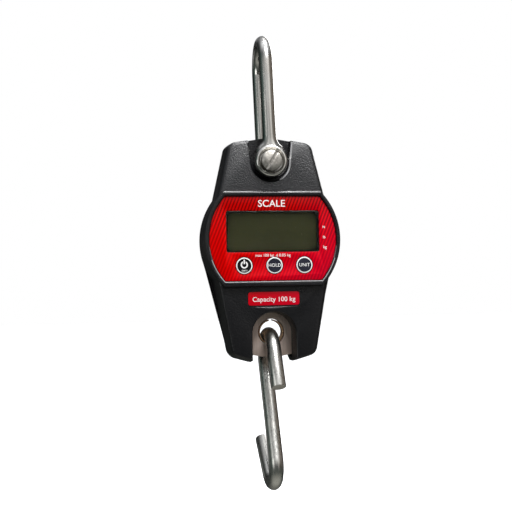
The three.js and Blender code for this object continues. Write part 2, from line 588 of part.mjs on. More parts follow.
function addDisplay() {
  const x = WINDOW.x - FIT_GAP;
  const midZ = (WINDOW.top + WINDOW.bottom) / 2;
  const height = WINDOW.top - WINDOW.bottom - 2 * FIT_GAP;
  place(casing, 'display_window', new THREE.BoxGeometry(2 * x, 1.7, height), CLEAR, [0, -16.7, midZ]);
  const { back, front, bottom, top } = GLASS;
  place(casing, 'lcd_glass', surface(block(-GLASS.x, GLASS.x, -front, -back, bottom, top)), CLEAR);
  const lightTop = top - 3.4;
  const [fore, aft] = [-back + REST_GAP, -BOARD.front - REST_GAP];
  const light = block(-GLASS.x + 0.4, GLASS.x - 0.4, fore, aft, bottom, lightTop);
  place(casing, 'backlight', surface(light), PLASTIC_WHITE);
  const strip = block(-GLASS.x + 3, GLASS.x - 3, fore, aft, lightTop + 0.4, top);
  place(casing, 'display_connector', surface(strip), RUBBER);
  place(casing, 'main_board', mainBoard(), BOARD_GREEN);
  const rear = -BOARD.back + REST_GAP;
  const { size, chipX, chipZ, buzzerR, buzzerBack } = ON_BOARD;
  const chip = new THREE.BoxGeometry(...size);
  place(casing, 'controller_chip', chip, KEY_BLACK, [chipX, rear + size[1] / 2, chipZ]);
  place(casing, 'buzzer', surface(bar(buzzerR, rear, buzzerBack)), KEY_BLACK, [chipX, 0, -chipZ]);
  BOARD_SCREWS.forEach(([sx, z], i) => {
    const { headR, headH, r, tip } = BOARD_SCREW;
    place(casing, `board_screw_${i + 1}`, screw(headR, headH, r, rear, tip), ZINC, [sx, 0, z]);
  });
  KEYS.forEach(([name, kx]) => {
    place(casing, `button_${name}`, keyCap(), KEY_BLACK, [kx, 0, KEY.z]);
    place(casing, `key_switch_${name}`, keySwitch(), ZINC, [kx, 0, KEY.z]);
  });
}

function addBatteries() {
  place(casing, 'battery_tray', batteryTray(), BLACK_ABS);
  [-1, 0, 1].forEach((row, i) => {
    const group = new THREE.Group();
    group.position.set(0, CELL_AAA.y, row * CELL_AAA.pitch);
    group.rotation.y = row === 0 ? Math.PI : 0;
    casing.add(group);
    place(group, `battery_${i + 1}`, battery(), BATTERY_SKIN);
    place(group, `contact_spring_${i + 1}`, springContact(), STEEL);
    const plateX = CELL_AAA.length / 2 + 0.6;
    place(group, `contact_plate_${i + 1}`, new THREE.BoxGeometry(0.6, 7, 8), ZINC, [plateX, 0, 0]);
  });
  place(casing, 'battery_door', batteryDoor(), BLACK_ABS);
}

addShackle();
addLoadCell();
addHook();
addCasing();
addDisplay();
addBatteries();

export default scale;
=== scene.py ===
"""Crane scale: fine shapes, finishes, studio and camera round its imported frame.

Lengths in the classes are millimetres. A piece is shaped about a local centre and then put in
its place in the frame, which is in metres, with +Z up and the display towards -Y.
"""
import logging
import math
from dataclasses import dataclass, field
from enum import Enum
from typing import Callable, Sequence

import bmesh
import bpy
from mathutils import Matrix, Vector


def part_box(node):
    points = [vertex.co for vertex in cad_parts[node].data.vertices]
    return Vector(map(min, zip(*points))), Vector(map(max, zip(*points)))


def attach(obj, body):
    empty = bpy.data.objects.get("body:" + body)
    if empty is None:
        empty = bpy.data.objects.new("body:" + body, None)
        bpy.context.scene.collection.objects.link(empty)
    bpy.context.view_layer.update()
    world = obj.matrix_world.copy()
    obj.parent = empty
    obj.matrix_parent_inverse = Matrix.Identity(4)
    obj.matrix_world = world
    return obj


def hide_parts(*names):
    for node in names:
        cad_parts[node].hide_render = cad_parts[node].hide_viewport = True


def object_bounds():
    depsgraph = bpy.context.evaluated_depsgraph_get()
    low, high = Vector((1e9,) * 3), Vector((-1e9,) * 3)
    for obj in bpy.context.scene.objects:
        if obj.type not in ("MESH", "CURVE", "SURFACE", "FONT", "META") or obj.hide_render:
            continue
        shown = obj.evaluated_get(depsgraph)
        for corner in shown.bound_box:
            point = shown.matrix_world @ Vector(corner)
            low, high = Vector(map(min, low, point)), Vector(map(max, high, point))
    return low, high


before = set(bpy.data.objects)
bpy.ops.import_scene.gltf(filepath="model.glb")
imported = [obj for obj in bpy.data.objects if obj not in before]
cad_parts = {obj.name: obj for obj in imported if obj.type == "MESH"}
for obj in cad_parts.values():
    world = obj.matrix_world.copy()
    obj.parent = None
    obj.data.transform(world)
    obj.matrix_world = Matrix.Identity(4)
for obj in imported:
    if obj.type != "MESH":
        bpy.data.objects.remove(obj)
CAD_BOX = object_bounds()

MM = 0.001
LOG = logging.getLogger("crane_scale")
Test = Callable[[Vector, list[Vector]], bool]


# ---------------------------------------------------------------------------------------
# Hand tools
# ---------------------------------------------------------------------------------------
class Axis(Enum):
    """Turns that lay a primitive's own +Z along a frame direction."""

    FRONT = (math.pi / 2, 0.0, 0.0)
    UP = (0.0, 0.0, 0.0)
    RIGHT = (0.0, math.pi / 2, 0.0)


class Joinery(Enum):
    """Ways in which one solid changes another."""

    CUT = "DIFFERENCE"
    JOIN = "UNION"


class Workpiece:
    """One mesh on the bench, in millimetres about its own centre until it is placed."""

    def __init__(self, obj: bpy.types.Object, name: str) -> None:
        """Takes a fresh primitive.

        Args:
            obj: the object that the operator has just made.
            name: the piece's name.
        """
        self.obj = obj
        obj.name = name
        obj.data.name = name

    # -- starts --------------------------------------------------------------------------
    @staticmethod
    def _clear() -> None:
        """Leaves nothing selected, in object mode."""
        if bpy.context.object and bpy.context.object.mode != "OBJECT":
            bpy.ops.object.mode_set(mode="OBJECT")
        bpy.ops.object.select_all(action="DESELECT")

    @classmethod
    def block(cls, name: str, low: Sequence[float], high: Sequence[float]) -> "Workpiece":
        """Returns a box between two corners."""
        cls._clear()
        bpy.ops.mesh.primitive_cube_add(size=1)
        piece = cls(bpy.context.object, name)
        size = [b - a for a, b in zip(low, high)]
        centre = [(a + b) / 2 for a, b in zip(low, high)]
        piece.edit(lambda: bpy.ops.transform.resize(value=size, center_override=(0, 0, 0)))
        piece.edit(lambda: bpy.ops.transform.translate(value=centre))
        return piece

    @classmethod
    def round(
        cls, name: str, radius: float, y_front: float, y_back: float,
        x: float = 0, z: float = 0, sides: int = 64, radius_front: float | None = None,
    ) -> "Workpiece":
        """Returns a cylinder or cone along Y.

        Args:
            name: the piece's name.
            radius: radius at the back end.
            y_front: front end, the lower Y.
            y_back: back end.
            x: centre.
            z: centre.
            sides: vertices round it.
            radius_front: radius at the front end, the same as radius if left out.
        """
        cls._clear()
        bpy.ops.mesh.primitive_cone_add(
            vertices=sides, radius1=radius, radius2=radius if radius_front is None else radius_front,
            depth=y_back - y_front, location=(x, (y_front + y_back) / 2, z), rotation=Axis.FRONT.value)
        piece = cls(bpy.context.object, name)
        piece.apply()
        return piece

    @classmethod
    def disc(cls, name: str, radius: float, centre: Sequence[float], axis: Axis, sides: int) -> "Workpiece":
        """Returns a filled circle, the start of a bar, with its face selected."""
        cls._clear()
        bpy.ops.mesh.primitive_circle_add(
            vertices=sides, radius=radius, fill_type="NGON", location=centre, rotation=axis.value)
        piece = cls(bpy.context.object, name)
        piece.apply()
        return piece

    @classmethod
    def turned(cls, name: str, profile: Sequence[tuple[float, float]], sides: int = 64) -> "Workpiece":
        """Returns a solid of revolution about Y, drawn out ring by ring.

        Args:
            name: the piece's name.
            profile: (radius, y) from the front end to the back end, radii above 0.
            sides: vertices round it.
        """
        radius, y = profile[0]
        piece = cls.disc(name, radius, (0, y, 0), Axis.FRONT, sides)
        bpy.ops.object.mode_set(mode="EDIT")
        bpy.ops.mesh.select_all(action="SELECT")
        for next_radius, next_y in profile[1:]:
            bpy.ops.mesh.extrude_region_move(TRANSFORM_OT_translate={"value": (0, next_y - y, 0)})
            grow = next_radius / radius
            bpy.ops.transform.resize(value=(grow, 1, grow), center_override=(0, next_y, 0))
            radius, y = next_radius, next_y
        bpy.ops.object.mode_set(mode="OBJECT")
        return piece.face_out()

    # -- edit mode -----------------------------------------------------------------------
    def _choose(self) -> None:
        """Makes the piece the one selected object, in object mode."""
        self._clear()
        self.obj.select_set(True)
        bpy.context.view_layer.objects.active = self.obj

    def open_edit(self) -> None:
        """Opens the piece in edit mode."""
        self._choose()
        bpy.ops.object.mode_set(mode="EDIT")

    def edit(self, work: Callable[[], object]) -> None:
        """Runs an operator on the whole mesh, in edit mode."""
        self.open_edit()
        bpy.ops.mesh.select_all(action="SELECT")
        work()
        bpy.ops.object.mode_set(mode="OBJECT")

    def apply(self) -> None:
        """Puts the object's own place, turn and size into its mesh."""
        self._choose()
        bpy.ops.object.transform_apply(location=True, rotation=True, scale=True)

    def face_out(self) -> "Workpiece":
        """Turns every face outwards."""
        self.edit(lambda: bpy.ops.mesh.normals_make_consistent(inside=False))
        return self

    def slice(self, point: Sequence[float], normal: Sequence[float]) -> "Workpiece":
        """Cuts away the side that the normal points to, and closes the cut."""
        self.edit(lambda: bpy.ops.mesh.bisect(
            plane_co=point, plane_no=Vector(normal).normalized(), use_fill=True, clear_outer=True))
        return self

    def pick_edges(self, test: Test) -> int:
        """Selects edges.

        Args:
            test: says yes to an edge, from its middle and its faces' normals.

        Returns:
            How many edges are selected.
        """
        self.open_edit()
        bpy.ops.mesh.select_mode(type="EDGE")
        bpy.ops.mesh.select_all(action="DESELECT")
        mesh = bmesh.from_edit_mesh(self.obj.data)
        count = 0
        for edge in mesh.edges:
            middle = (edge.verts[0].co + edge.verts[1].co) / 2
            if len(edge.link_faces) == 2 and test(middle, [f.normal for f in edge.link_faces]):
                edge.select_set(True)
                count += 1
        bmesh.update_edit_mesh(self.obj.data)
        return count

    def bevel(self, width: float, segments: int, test: Test, clamp: bool = True) -> "Workpiece":
        """Rounds the edges that the test picks."""
        if self.pick_edges(test):
            bpy.ops.mesh.bevel(
                offset=width, offset_type="OFFSET", segments=segments, profile=0.5,
                affect="EDGES", clamp_overlap=clamp)
        bpy.ops.mesh.select_all(action="SELECT")
        bpy.ops.mesh.remove_doubles(threshold=0.002)
        bpy.ops.object.mode_set(mode="OBJECT")
        return self

    def _use(self, modifier: bpy.types.Modifier) -> "Workpiece":
        """Applies a modifier."""
        self._choose()
        bpy.ops.object.modifier_apply(modifier=modifier.name)
        return self

    # -- joinery -------------------------------------------------------------------------
    def fit(self, way: Joinery, *others: "Workpiece") -> "Workpiece":
        """Cuts other solids out or joins them on, and uses them up."""
        for other in others:
            modifier = self.obj.modifiers.new("fit", "BOOLEAN")
            modifier.operation = way.value
            modifier.solver = "EXACT"
            modifier.object = other.obj
            self._use(modifier)
            mesh = other.obj.data
            bpy.data.objects.remove(other.obj)
            bpy.data.meshes.remove(mesh)
        return self

    def cut(self, *others: "Workpiece") -> "Workpiece":
        """Cuts other solids out of this one."""
        return self.fit(Joinery.CUT, *others)

    def join(self, *others: "Workpiece") -> "Workpiece":
        """Joins other solids to this one."""
        return self.fit(Joinery.JOIN, *others)

    def to_rear(self) -> "Workpiece":
        """Reflects the piece in the middle plane."""
        self.obj.scale = (1, -1, 1)
        self.apply()
        return self.face_out()

    def copy(self, name: str) -> "Workpiece":
        """Returns a copy with its own mesh."""
        twin = self.obj.copy()
        twin.data = self.obj.data.copy()
        bpy.context.scene.collection.objects.link(twin)
        return Workpiece(twin, name)

    def clean(self) -> "Workpiece":
        """Merges doubled vertices and drops edges between faces in one plane."""
        self.edit(lambda: bpy.ops.mesh.remove_doubles(threshold=0.004))
        self.edit(lambda: bpy.ops.mesh.dissolve_limited(angle_limit=math.radians(0.6)))
        return self

    def place(self, centre: Vector, turn: Sequence[float] = (0, 0, 0)) -> "Workpiece":
        """Brings the piece from the bench to its place in the frame.

        Args:
            centre: where the piece's own centre goes, in metres.
            turn: Euler turn about that centre.
        """
        self.obj.scale = (MM, MM, MM)
        self.obj.rotation_euler = turn
        self.obj.location = centre
        self.apply()
        return self

    def finish(
        self, body: str, slot: str, *materials: bpy.types.Material,
        stands_for: Sequence[str] = (), smooth: float = 32,
    ) -> bpy.types.Object:
        """Dresses a placed piece, hangs it on its body and hides the frame's nodes that it replaces.

        Args:
            body: the body that it rides on.
            slot: not used.
            materials: its materials, in the order of its faces' indices.
            stands_for: the frame's nodes that it replaces.
            smooth: edges flatter than this are shaded smooth, in degrees.

        Returns:
            The finished object.
        """
        self._choose()
        bpy.ops.object.shade_smooth_by_angle(angle=math.radians(smooth))
        for material in materials:
            self.obj.data.materials.append(material)
        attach(self.obj, body)
        if stands_for:
            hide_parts(*stands_for)
        mesh = bmesh.new()
        mesh.from_mesh(self.obj.data)
        loose = sum(1 for edge in mesh.edges if len(edge.link_faces) != 2)
        mesh.free()
        LOG.info("%s: %d faces, %d open edges", self.obj.name, len(self.obj.data.polygons), loose)
        return self.obj

    def paint(self, index: int, test: Callable[[Vector, Vector], bool]) -> "Workpiece":
        """Gives a material index to the faces that the test picks by centre and normal."""
        for face in self.obj.data.polygons:
            if test(face.center, face.normal):
                face.material_index = index
        return self


# ---------------------------------------------------------------------------------------
# Finishes
# ---------------------------------------------------------------------------------------
class Sheet:
    """A material's or a group's node tree, with short calls to add and join nodes."""

    def __init__(self, tree: bpy.types.NodeTree) -> None:
        """Takes the tree to draw on."""
        self.tree = tree

    def add(self, kind: str, settings: dict | None = None, **inputs: object) -> bpy.types.Node:
        """Adds a node.

        Args:
            kind: the node's type, without its ShaderNode prefix.
            settings: the node's own properties.
            inputs: socket values or output sockets, spaces written as underscores.

        Returns:
            The node.
        """
        prefix = "" if kind.startswith("NodeGroup") else "ShaderNode"
        node = self.tree.nodes.new(prefix + kind)
        for key, value in (settings or {}).items():
            setattr(node, key, value)
        for key, value in inputs.items():
            self.join(value, node, key.replace("_", " "))
        return node

    def join(self, value: object, node: bpy.types.Node, socket: str | int) -> None:
        """Sets a socket to a value, or links an output to it."""
        if isinstance(value, bpy.types.NodeSocket):
            self.tree.links.new(value, node.inputs[socket])
        else:
            node.inputs[socket].default_value = value

    def math(self, way: str, a: object, b: object = 0.0) -> bpy.types.NodeSocket:
        """Returns the output of a Math node."""
        node = self.add("Math", {"operation": way})
        self.join(a, node, 0)
        self.join(b, node, 1)
        return node.outputs[0]

    def blend(self, factor: object, a: object, b: object, way: str = "MIX") -> bpy.types.NodeSocket:
        """Returns the output of a colour Mix node."""
        node = self.add("Mix", {"data_type": "RGBA", "blend_type": way})
        self.join(factor, node, 0)
        self.join(a, node, 6)
        self.join(b, node, 7)
        return node.outputs[2]

    def ramp(
        self, value: object, low: float, high: float, to_low: float, to_high: float,
    ) -> bpy.types.NodeSocket:
        """Returns a value moved from one range to another, clamped."""
        node = self.add("MapRange", Value=value, From_Min=low, From_Max=high, To_Min=to_low, To_Max=to_high)
        return node.outputs[0]

    def object_point(self, turn: Sequence[float] = (0, 0, 0)) -> bpy.types.NodeSocket:
        """Returns Object coordinates through a Mapping node."""
        point = self.add("TexCoord").outputs["Object"]
        mapping = self.add("Mapping", Vector=point, Rotation=turn)
        return mapping.outputs[0]

    def noise(
        self, point: object, scale: float, detail: float = 3.0, roughness: float = 0.5,
    ) -> bpy.types.NodeSocket:
        """Returns a noise value."""
        return self.add(
            "TexNoise", Vector=point, Scale=scale, Detail=detail, Roughness=roughness).outputs[0]


class Effects:
    """Node groups that several finishes share. They give out values only."""

    def __init__(self) -> None:
        """Builds every group once."""
        self.spark = self._spark()
        self.marks = self._marks()
        self.wear = self._wear()

    @staticmethod
    def _group(
        name: str, inputs: dict[str, float], outputs: Sequence[str],
    ) -> tuple[bpy.types.NodeTree, Sheet]:
        """Makes a group with float sockets and returns it with its sheet."""
        tree = bpy.data.node_groups.new(name, "ShaderNodeTree")
        tree.interface.new_socket("Point", in_out="INPUT", socket_type="NodeSocketVector")
        for label, value in inputs.items():
            socket = tree.interface.new_socket(label, in_out="INPUT", socket_type="NodeSocketFloat")
            socket.default_value = value
        for label in outputs:
            tree.interface.new_socket(label, in_out="OUTPUT", socket_type="NodeSocketFloat")
        return tree, Sheet(tree)

    def _spark(self) -> bpy.types.NodeTree:
        """Pebbled spark texture of a moulded shell."""
        tree, sheet = self._group("spark_texture", {"Pitch": 1600.0}, ("Height", "Shine"))
        given = sheet.add("NodeGroupInput").outputs
        coarse = sheet.add(
            "TexNoise", Vector=given["Point"], Scale=given["Pitch"], Detail=2.0, Roughness=0.55)
        cells = sheet.add("TexVoronoi", {"feature": "SMOOTH_F1"}, Vector=given["Point"], Scale=given["Pitch"])
        bumps = sheet.math("SUBTRACT", coarse.outputs[0], cells.outputs["Distance"])
        out = sheet.add("NodeGroupOutput")
        sheet.join(sheet.ramp(bumps, -0.5, 0.6, 0.0, 1.0), out, "Height")
        slow = sheet.noise(given["Point"], 38.0, 2.0)
        sheet.join(sheet.ramp(slow, 0.3, 0.7, 0.0, 1.0), out, "Shine")
        return tree

    def _marks(self) -> bpy.types.NodeTree:
        """Long drawing and handling marks of a metal bar or plate."""
        tree, sheet = self._group(
            "metal_marks", {"Stretch": 0.03, "Pitch": 900.0}, ("Streak", "Blotch", "Scratch"))
        given = sheet.add("NodeGroupInput").outputs
        squeeze = sheet.add("CombineXYZ", X=1.0, Y=1.0, Z=given["Stretch"])
        along = sheet.add("VectorMath", {"operation": "MULTIPLY"})
        sheet.join(given["Point"], along, 0)
        sheet.join(squeeze.outputs[0], along, 1)
        streak = sheet.add(
            "TexNoise", Vector=along.outputs[0], Scale=given["Pitch"], Detail=4.0, Roughness=0.6)
        blotch = sheet.noise(given["Point"], 90.0, 3.0)
        bent = sheet.add("TexNoise", Vector=given["Point"], Scale=given["Pitch"], Detail=6.0, Roughness=0.75)
        out = sheet.add("NodeGroupOutput")
        sheet.join(sheet.ramp(streak.outputs[0], 0.3, 0.7, 0.0, 1.0), out, "Streak")
        sheet.join(sheet.ramp(blotch, 0.35, 0.7, 0.0, 1.0), out, "Blotch")
        sheet.join(sheet.ramp(bent.outputs[0], 0.62, 0.72, 0.0, 1.0), out, "Scratch")
        return tree

    def _wear(self) -> bpy.types.NodeTree:
        """Faint dust and rubbing on outer faces."""
        tree, sheet = self._group("light_wear", {"Amount": 0.3}, ("Dust",))
        given = sheet.add("NodeGroupInput").outputs
        broad = sheet.noise(given["Point"], 55.0, 5.0, 0.65)
        fine = sheet.noise(given["Point"], 2600.0, 2.0)
        dust = sheet.math(
            "MULTIPLY", sheet.ramp(broad, 0.45, 0.75, 0.0, 1.0), sheet.ramp(fine, 0.5, 0.8, 0.0, 1.0))
        out = sheet.add("NodeGroupOutput")
        sheet.join(sheet.math("MULTIPLY", dust, given["Amount"]), out, "Dust")
        return tree

    @staticmethod
    def use(sheet: Sheet, tree: bpy.types.NodeTree, point: object, **values: float) -> bpy.types.Node:
        """Places a group in a material with its own values."""
        node = sheet.add("Group", {"node_tree": tree})
        sheet.join(point, node, "Point")
        for label, value in values.items():
            sheet.join(value, node, label)
        return node


@dataclass(frozen=True)
class Finish:
    """A surface with a little variation: the base of every other finish."""

    name: str
    color: tuple[float, float, float]
    roughness: float = 0.4
    metallic: float = 0.0
    coat: float = 0.0
    vary: float = 0.12
    specular: float = 0.5

    def build(self, effects: Effects) -> bpy.types.Material:
        """Makes the material.

        Args:
            effects: the shared node groups.

        Returns:
            The material.
        """
        material = bpy.data.materials.new(self.name)
        material.use_nodes = True
        sheet = Sheet(material.node_tree)
        shader = material.node_tree.nodes["Principled BSDF"]
        shader.inputs["Metallic"].default_value = self.metallic
        shader.inputs["Specular IOR Level"].default_value = self.specular
        shader.inputs["Coat Weight"].default_value = self.coat
        shader.inputs["Coat Roughness"].default_value = 0.06
        self.draw(sheet, shader, effects)
        return material

    def draw(self, sheet: Sheet, shader: bpy.types.Node, effects: Effects) -> None:
        """Draws the surface: a soft drift of tone and gloss."""
        point = sheet.object_point()
        drift = sheet.noise(point, 120.0, 4.0)
        dark = (*[c * (1 - self.vary) for c in self.color], 1)
        light = (*[min(1.0, c * (1 + self.vary)) for c in self.color], 1)
        sheet.join(sheet.blend(drift, dark, light), shader, "Base Color")
        spread = self.roughness * self.vary
        gloss = sheet.ramp(drift, 0.3, 0.7, self.roughness - spread, self.roughness + spread)
        sheet.join(gloss, shader, "Roughness")


@dataclass(frozen=True)
class ShellPlastic(Finish):
    """Black moulded plastic with a spark texture."""

    pitch: float = 1650.0
    height: float = 0.00019

    def draw(self, sheet: Sheet, shader: bpy.types.Node, effects: Effects) -> None:
        """Draws the pebbled texture, uneven gloss and a trace of dust."""
        point = sheet.object_point()
        spark = effects.use(sheet, effects.spark, point, Pitch=self.pitch)
        wear = effects.use(sheet, effects.wear, point, Amount=0.35)
        base = (*self.color, 1)
        pale = (*[c * 2.2 + 0.01 for c in self.color], 1)
        tone = sheet.blend(spark.outputs["Height"], base, (*[c * 1.5 for c in self.color], 1))
        sheet.join(sheet.blend(wear.outputs["Dust"], tone, pale), shader, "Base Color")
        shine = sheet.ramp(spark.outputs["Shine"], 0.0, 1.0, self.roughness - 0.05, self.roughness + 0.07)
        sheet.join(shine, shader, "Roughness")
        bump = sheet.add("Bump", Strength=0.55, Distance=self.height, Height=spark.outputs["Height"])
        sheet.join(bump.outputs[0], shader, "Normal")


@dataclass(frozen=True)
class PrintedFilm(Finish):
    """Glossy red film with slanting darker lines, deeper towards the top."""

    stripe: float = 0.0
    pitch_mm: float = 1.84
    lean: float = 22.0
    top_z: float = 0.0
    fade: float = 0.03
    top_shade: float = 0.38
    side_pink: float = 0.9

    def draw(self, sheet: Sheet, shader: bpy.types.Node, effects: Effects) -> None:
        """Draws the slanting lines and the slight waviness of a pressed film."""
        point = sheet.add("TexCoord").outputs["Object"]
        parts = sheet.add("SeparateXYZ", Vector=point)
        slant = sheet.math("MULTIPLY", parts.outputs["Z"], -math.tan(math.radians(self.lean)))
        across = sheet.math("ADD", parts.outputs["X"], slant)
        wave = sheet.math("FRACT", sheet.math("DIVIDE", across, self.pitch_mm * MM))
        line = sheet.math("ABSOLUTE", sheet.math("SUBTRACT", wave, 0.5))
        soft = sheet.ramp(line, 0.14, 0.34, 1.0, 0.0)
        high = sheet.ramp(parts.outputs["Z"], self.top_z - self.fade, self.top_z, 0.42, 1.0)
        depth = sheet.math("MULTIPLY", sheet.math("MULTIPLY", soft, high), self.stripe)
        shade = sheet.ramp(parts.outputs["Z"], self.top_z - 0.011, self.top_z - 0.001, 0.0, self.top_shade)
        depth = sheet.math("MAXIMUM", depth, shade)
        base = (*self.color, 1)
        deep = (*[c * 0.12 for c in self.color], 1)
        drift = sheet.noise(point, 60.0, 3.0)
        tone = sheet.blend(depth, base, deep)
        aside = sheet.math("SUBTRACT", parts.outputs["X"], parts.outputs["Z"])
        pink = sheet.ramp(aside, 0.105, 0.165, 0.0, self.side_pink)
        warm = sheet.blend(pink, tone, (0.0, 0.0, 0.016, 1), "ADD")
        sheet.join(warm, shader, "Base Color")
        sheet.join(sheet.ramp(drift, 0.3, 0.7, self.roughness, self.roughness + 0.08), shader, "Roughness")
        bump = sheet.add("Bump", Strength=0.12, Distance=0.0002, Height=drift)
        sheet.join(bump.outputs[0], shader, "Normal")


@dataclass(frozen=True)
class BarMetal(Finish):
    """Drawn, ground or rolled metal with long marks."""

    stretch: float = 0.03
    pitch: float = 900.0
    grain: float = 0.00002
    stain: tuple[float, float, float] = (0.30, 0.26, 0.22)
    stain_amount: float = 0.35
    across: bool = False

    def draw(self, sheet: Sheet, shader: bpy.types.Node, effects: Effects) -> None:
        """Draws the long marks, stains and fine scratches."""
        turn = (0.0, math.pi / 2, 0.0) if self.across else (0.0, 0.0, 0.0)
        point = sheet.object_point(turn=turn)
        marks = effects.use(sheet, effects.marks, point, Stretch=self.stretch, Pitch=self.pitch)
        base = (*self.color, 1)
        dull = (*[c * 0.72 for c in self.color], 1)
        tone = sheet.blend(marks.outputs["Streak"], dull, base)
        patch = sheet.math("MULTIPLY", marks.outputs["Blotch"], self.stain_amount)
        tone = sheet.blend(patch, tone, (*self.stain, 1))
        sheet.join(tone, shader, "Base Color")
        rough = sheet.ramp(marks.outputs["Streak"], 0.0, 1.0, self.roughness - 0.06, self.roughness + 0.08)
        patchy = sheet.ramp(marks.outputs["Blotch"], 0.0, 1.0, 0.0, 0.10)
        scratched = sheet.math("MULTIPLY", marks.outputs["Scratch"], 0.15)
        sheet.join(
            sheet.math("ADD", sheet.math("ADD", rough, patchy), scratched), shader, "Roughness")
        bump = sheet.add("Bump", Strength=0.5, Distance=self.grain, Height=marks.outputs["Streak"])
        sheet.join(bump.outputs[0], shader, "Normal")


@dataclass(frozen=True)
class ClearPane(Finish):
    """Clear window pane."""

    def draw(self, sheet: Sheet, shader: bpy.types.Node, effects: Effects) -> None:
        """Draws clear plastic with faint haze from wiping."""
        shader.inputs["Transmission Weight"].default_value = 1.0
        shader.inputs["IOR"].default_value = 1.1
        shader.inputs["Base Color"].default_value = (*self.color, 1)
        haze = sheet.noise(sheet.object_point(), 140.0, 4.0)
        sheet.join(sheet.ramp(haze, 0.35, 0.75, 0.0, self.roughness), shader, "Roughness")


@dataclass(frozen=True)
class LcdFace(Finish):
    """Switched-off liquid crystal: olive, darker and greener towards its edges."""

    centre: tuple[float, float] = (0.0, 0.0)
    half: tuple[float, float] = (0.026, 0.0115)

    def draw(self, sheet: Sheet, shader: bpy.types.Node, effects: Effects) -> None:
        """Draws the olive field and its darker rounded edge."""
        parts = sheet.add("SeparateXYZ", Vector=sheet.add("TexCoord").outputs["Object"])
        x = sheet.math("ABSOLUTE", sheet.math("SUBTRACT", parts.outputs["X"], self.centre[0]))
        z = sheet.math("ABSOLUTE", sheet.math("SUBTRACT", parts.outputs["Z"], self.centre[1]))
        side = sheet.math("POWER", sheet.math("DIVIDE", x, self.half[0]), 6.0)
        rise = sheet.math("POWER", sheet.math("DIVIDE", z, self.half[1]), 6.0)
        edge = sheet.ramp(sheet.math("ADD", side, rise), 0.55, 1.25, 0.0, 1.0)
        drift = sheet.noise(sheet.object_point(), 90.0, 2.0)
        field_tone = sheet.blend(drift, (*self.color, 1), (*[c * 1.18 for c in self.color], 1))
        sheet.join(sheet.blend(edge, field_tone, (0.012, 0.015, 0.008, 1)), shader, "Base Color")
        sheet.join(sheet.ramp(drift, 0.3, 0.7, self.roughness, self.roughness + 0.06), shader, "Roughness")


class Palette:
    """Every material of the scale, built once."""

    def __init__(self, panel_top: float, lcd: tuple[float, float]) -> None:
        """Builds the materials.

        Args:
            panel_top: height of the red panel's top edge, in metres.
            lcd: X and Z of the display's middle, in metres.
        """
        effects = Effects()
        finishes = {
            "shell": ShellPlastic("shell_plastic", (0.0032, 0.0032, 0.0040), 0.29, specular=0.40),
            # Light grey finish for the seat's up-facing lower rim and the recess's right edge: a painted
            # highlight standing in for the overhead light's glint.
            "rim_painted_highlight": ShellPlastic("rim_painted_highlight", (0.22, 0.22, 0.225), 0.25),
            "shell_inside": ShellPlastic("inner_plastic", (0.010, 0.010, 0.011), 0.5),
            "film": PrintedFilm(
                "red_film", (0.59, 0.0, 0.0), 0.22, specular=0.08, stripe=0.95, top_z=panel_top),
            "label": PrintedFilm("label_film", (0.52, 0.0, 0.0), 0.3, specular=0.12, stripe=0.0),
            "bar": BarMetal("bar_steel", (0.60, 0.59, 0.56), 0.16, 1.0, grain=0.000008),
            "hook_bar": BarMetal(
                "hook_steel", (0.58, 0.575, 0.54), 0.26, 1.0, pitch=1300, grain=0.000012, stain_amount=0.25),
            "saw_cut": BarMetal(
                "saw_cut", (0.62, 0.60, 0.55), 0.55, 0.35,
                stretch=0.1, pitch=1500, grain=0.00012, across=True),
            "pin": BarMetal(
                "pin_steel", (0.34, 0.33, 0.305), 0.36, 1.0, stretch=0.8, pitch=620, grain=0.00016),
            "cell": BarMetal(
                "cell_metal", (0.60, 0.49, 0.43), 0.5, 0.5, stretch=0.02, pitch=1500, grain=0.00001,
                stain=(0.46, 0.34, 0.28), stain_amount=0.4),
            "bronze": BarMetal(
                "bronze", (0.78, 0.52, 0.33), 0.3, 0.8, stretch=0.5, stain=(0.4, 0.2, 0.1), stain_amount=0.4),
            "zinc": BarMetal("zinc", (0.55, 0.55, 0.53), 0.33, 1.0, stretch=0.6, pitch=1200),
            "pane": ClearPane("clear_window", (0.92, 0.94, 0.90), 0.02, specular=0.3),
            "lcd": LcdFace("lcd", (0.019, 0.019, 0.0062), 0.4, specular=0.15, centre=lcd),
            "mask": Finish("black_print", (0.006, 0.006, 0.007), 0.2, coat=0.3),
            "key_black": Finish("key_black", (0.006, 0.006, 0.007), 0.22, coat=0.4),
            "key_navy": Finish("key_navy", (0.016, 0.017, 0.028), 0.2, coat=0.5, vary=0.35),
            "ink": Finish("white_ink", (0.78, 0.77, 0.76), 0.35, vary=0.05),
            "board": Finish("board_green", (0.01, 0.09, 0.03), 0.35, coat=0.3),
            "white": Finish("white_plastic", (0.72, 0.71, 0.67), 0.45),
            "rubber": Finish("rubber", (0.03, 0.03, 0.033), 0.7),
            "battery": Finish("battery_skin", (0.05, 0.12, 0.2), 0.3, coat=0.3),
            "gauge": Finish("gauge_film", (0.5, 0.25, 0.05), 0.35),
        }
        self.materials = {key: finish.build(effects) for key, finish in finishes.items()}

    def __getitem__(self, key: str) -> bpy.types.Material:
        """Returns a material by its short name."""
        return self.materials[key]


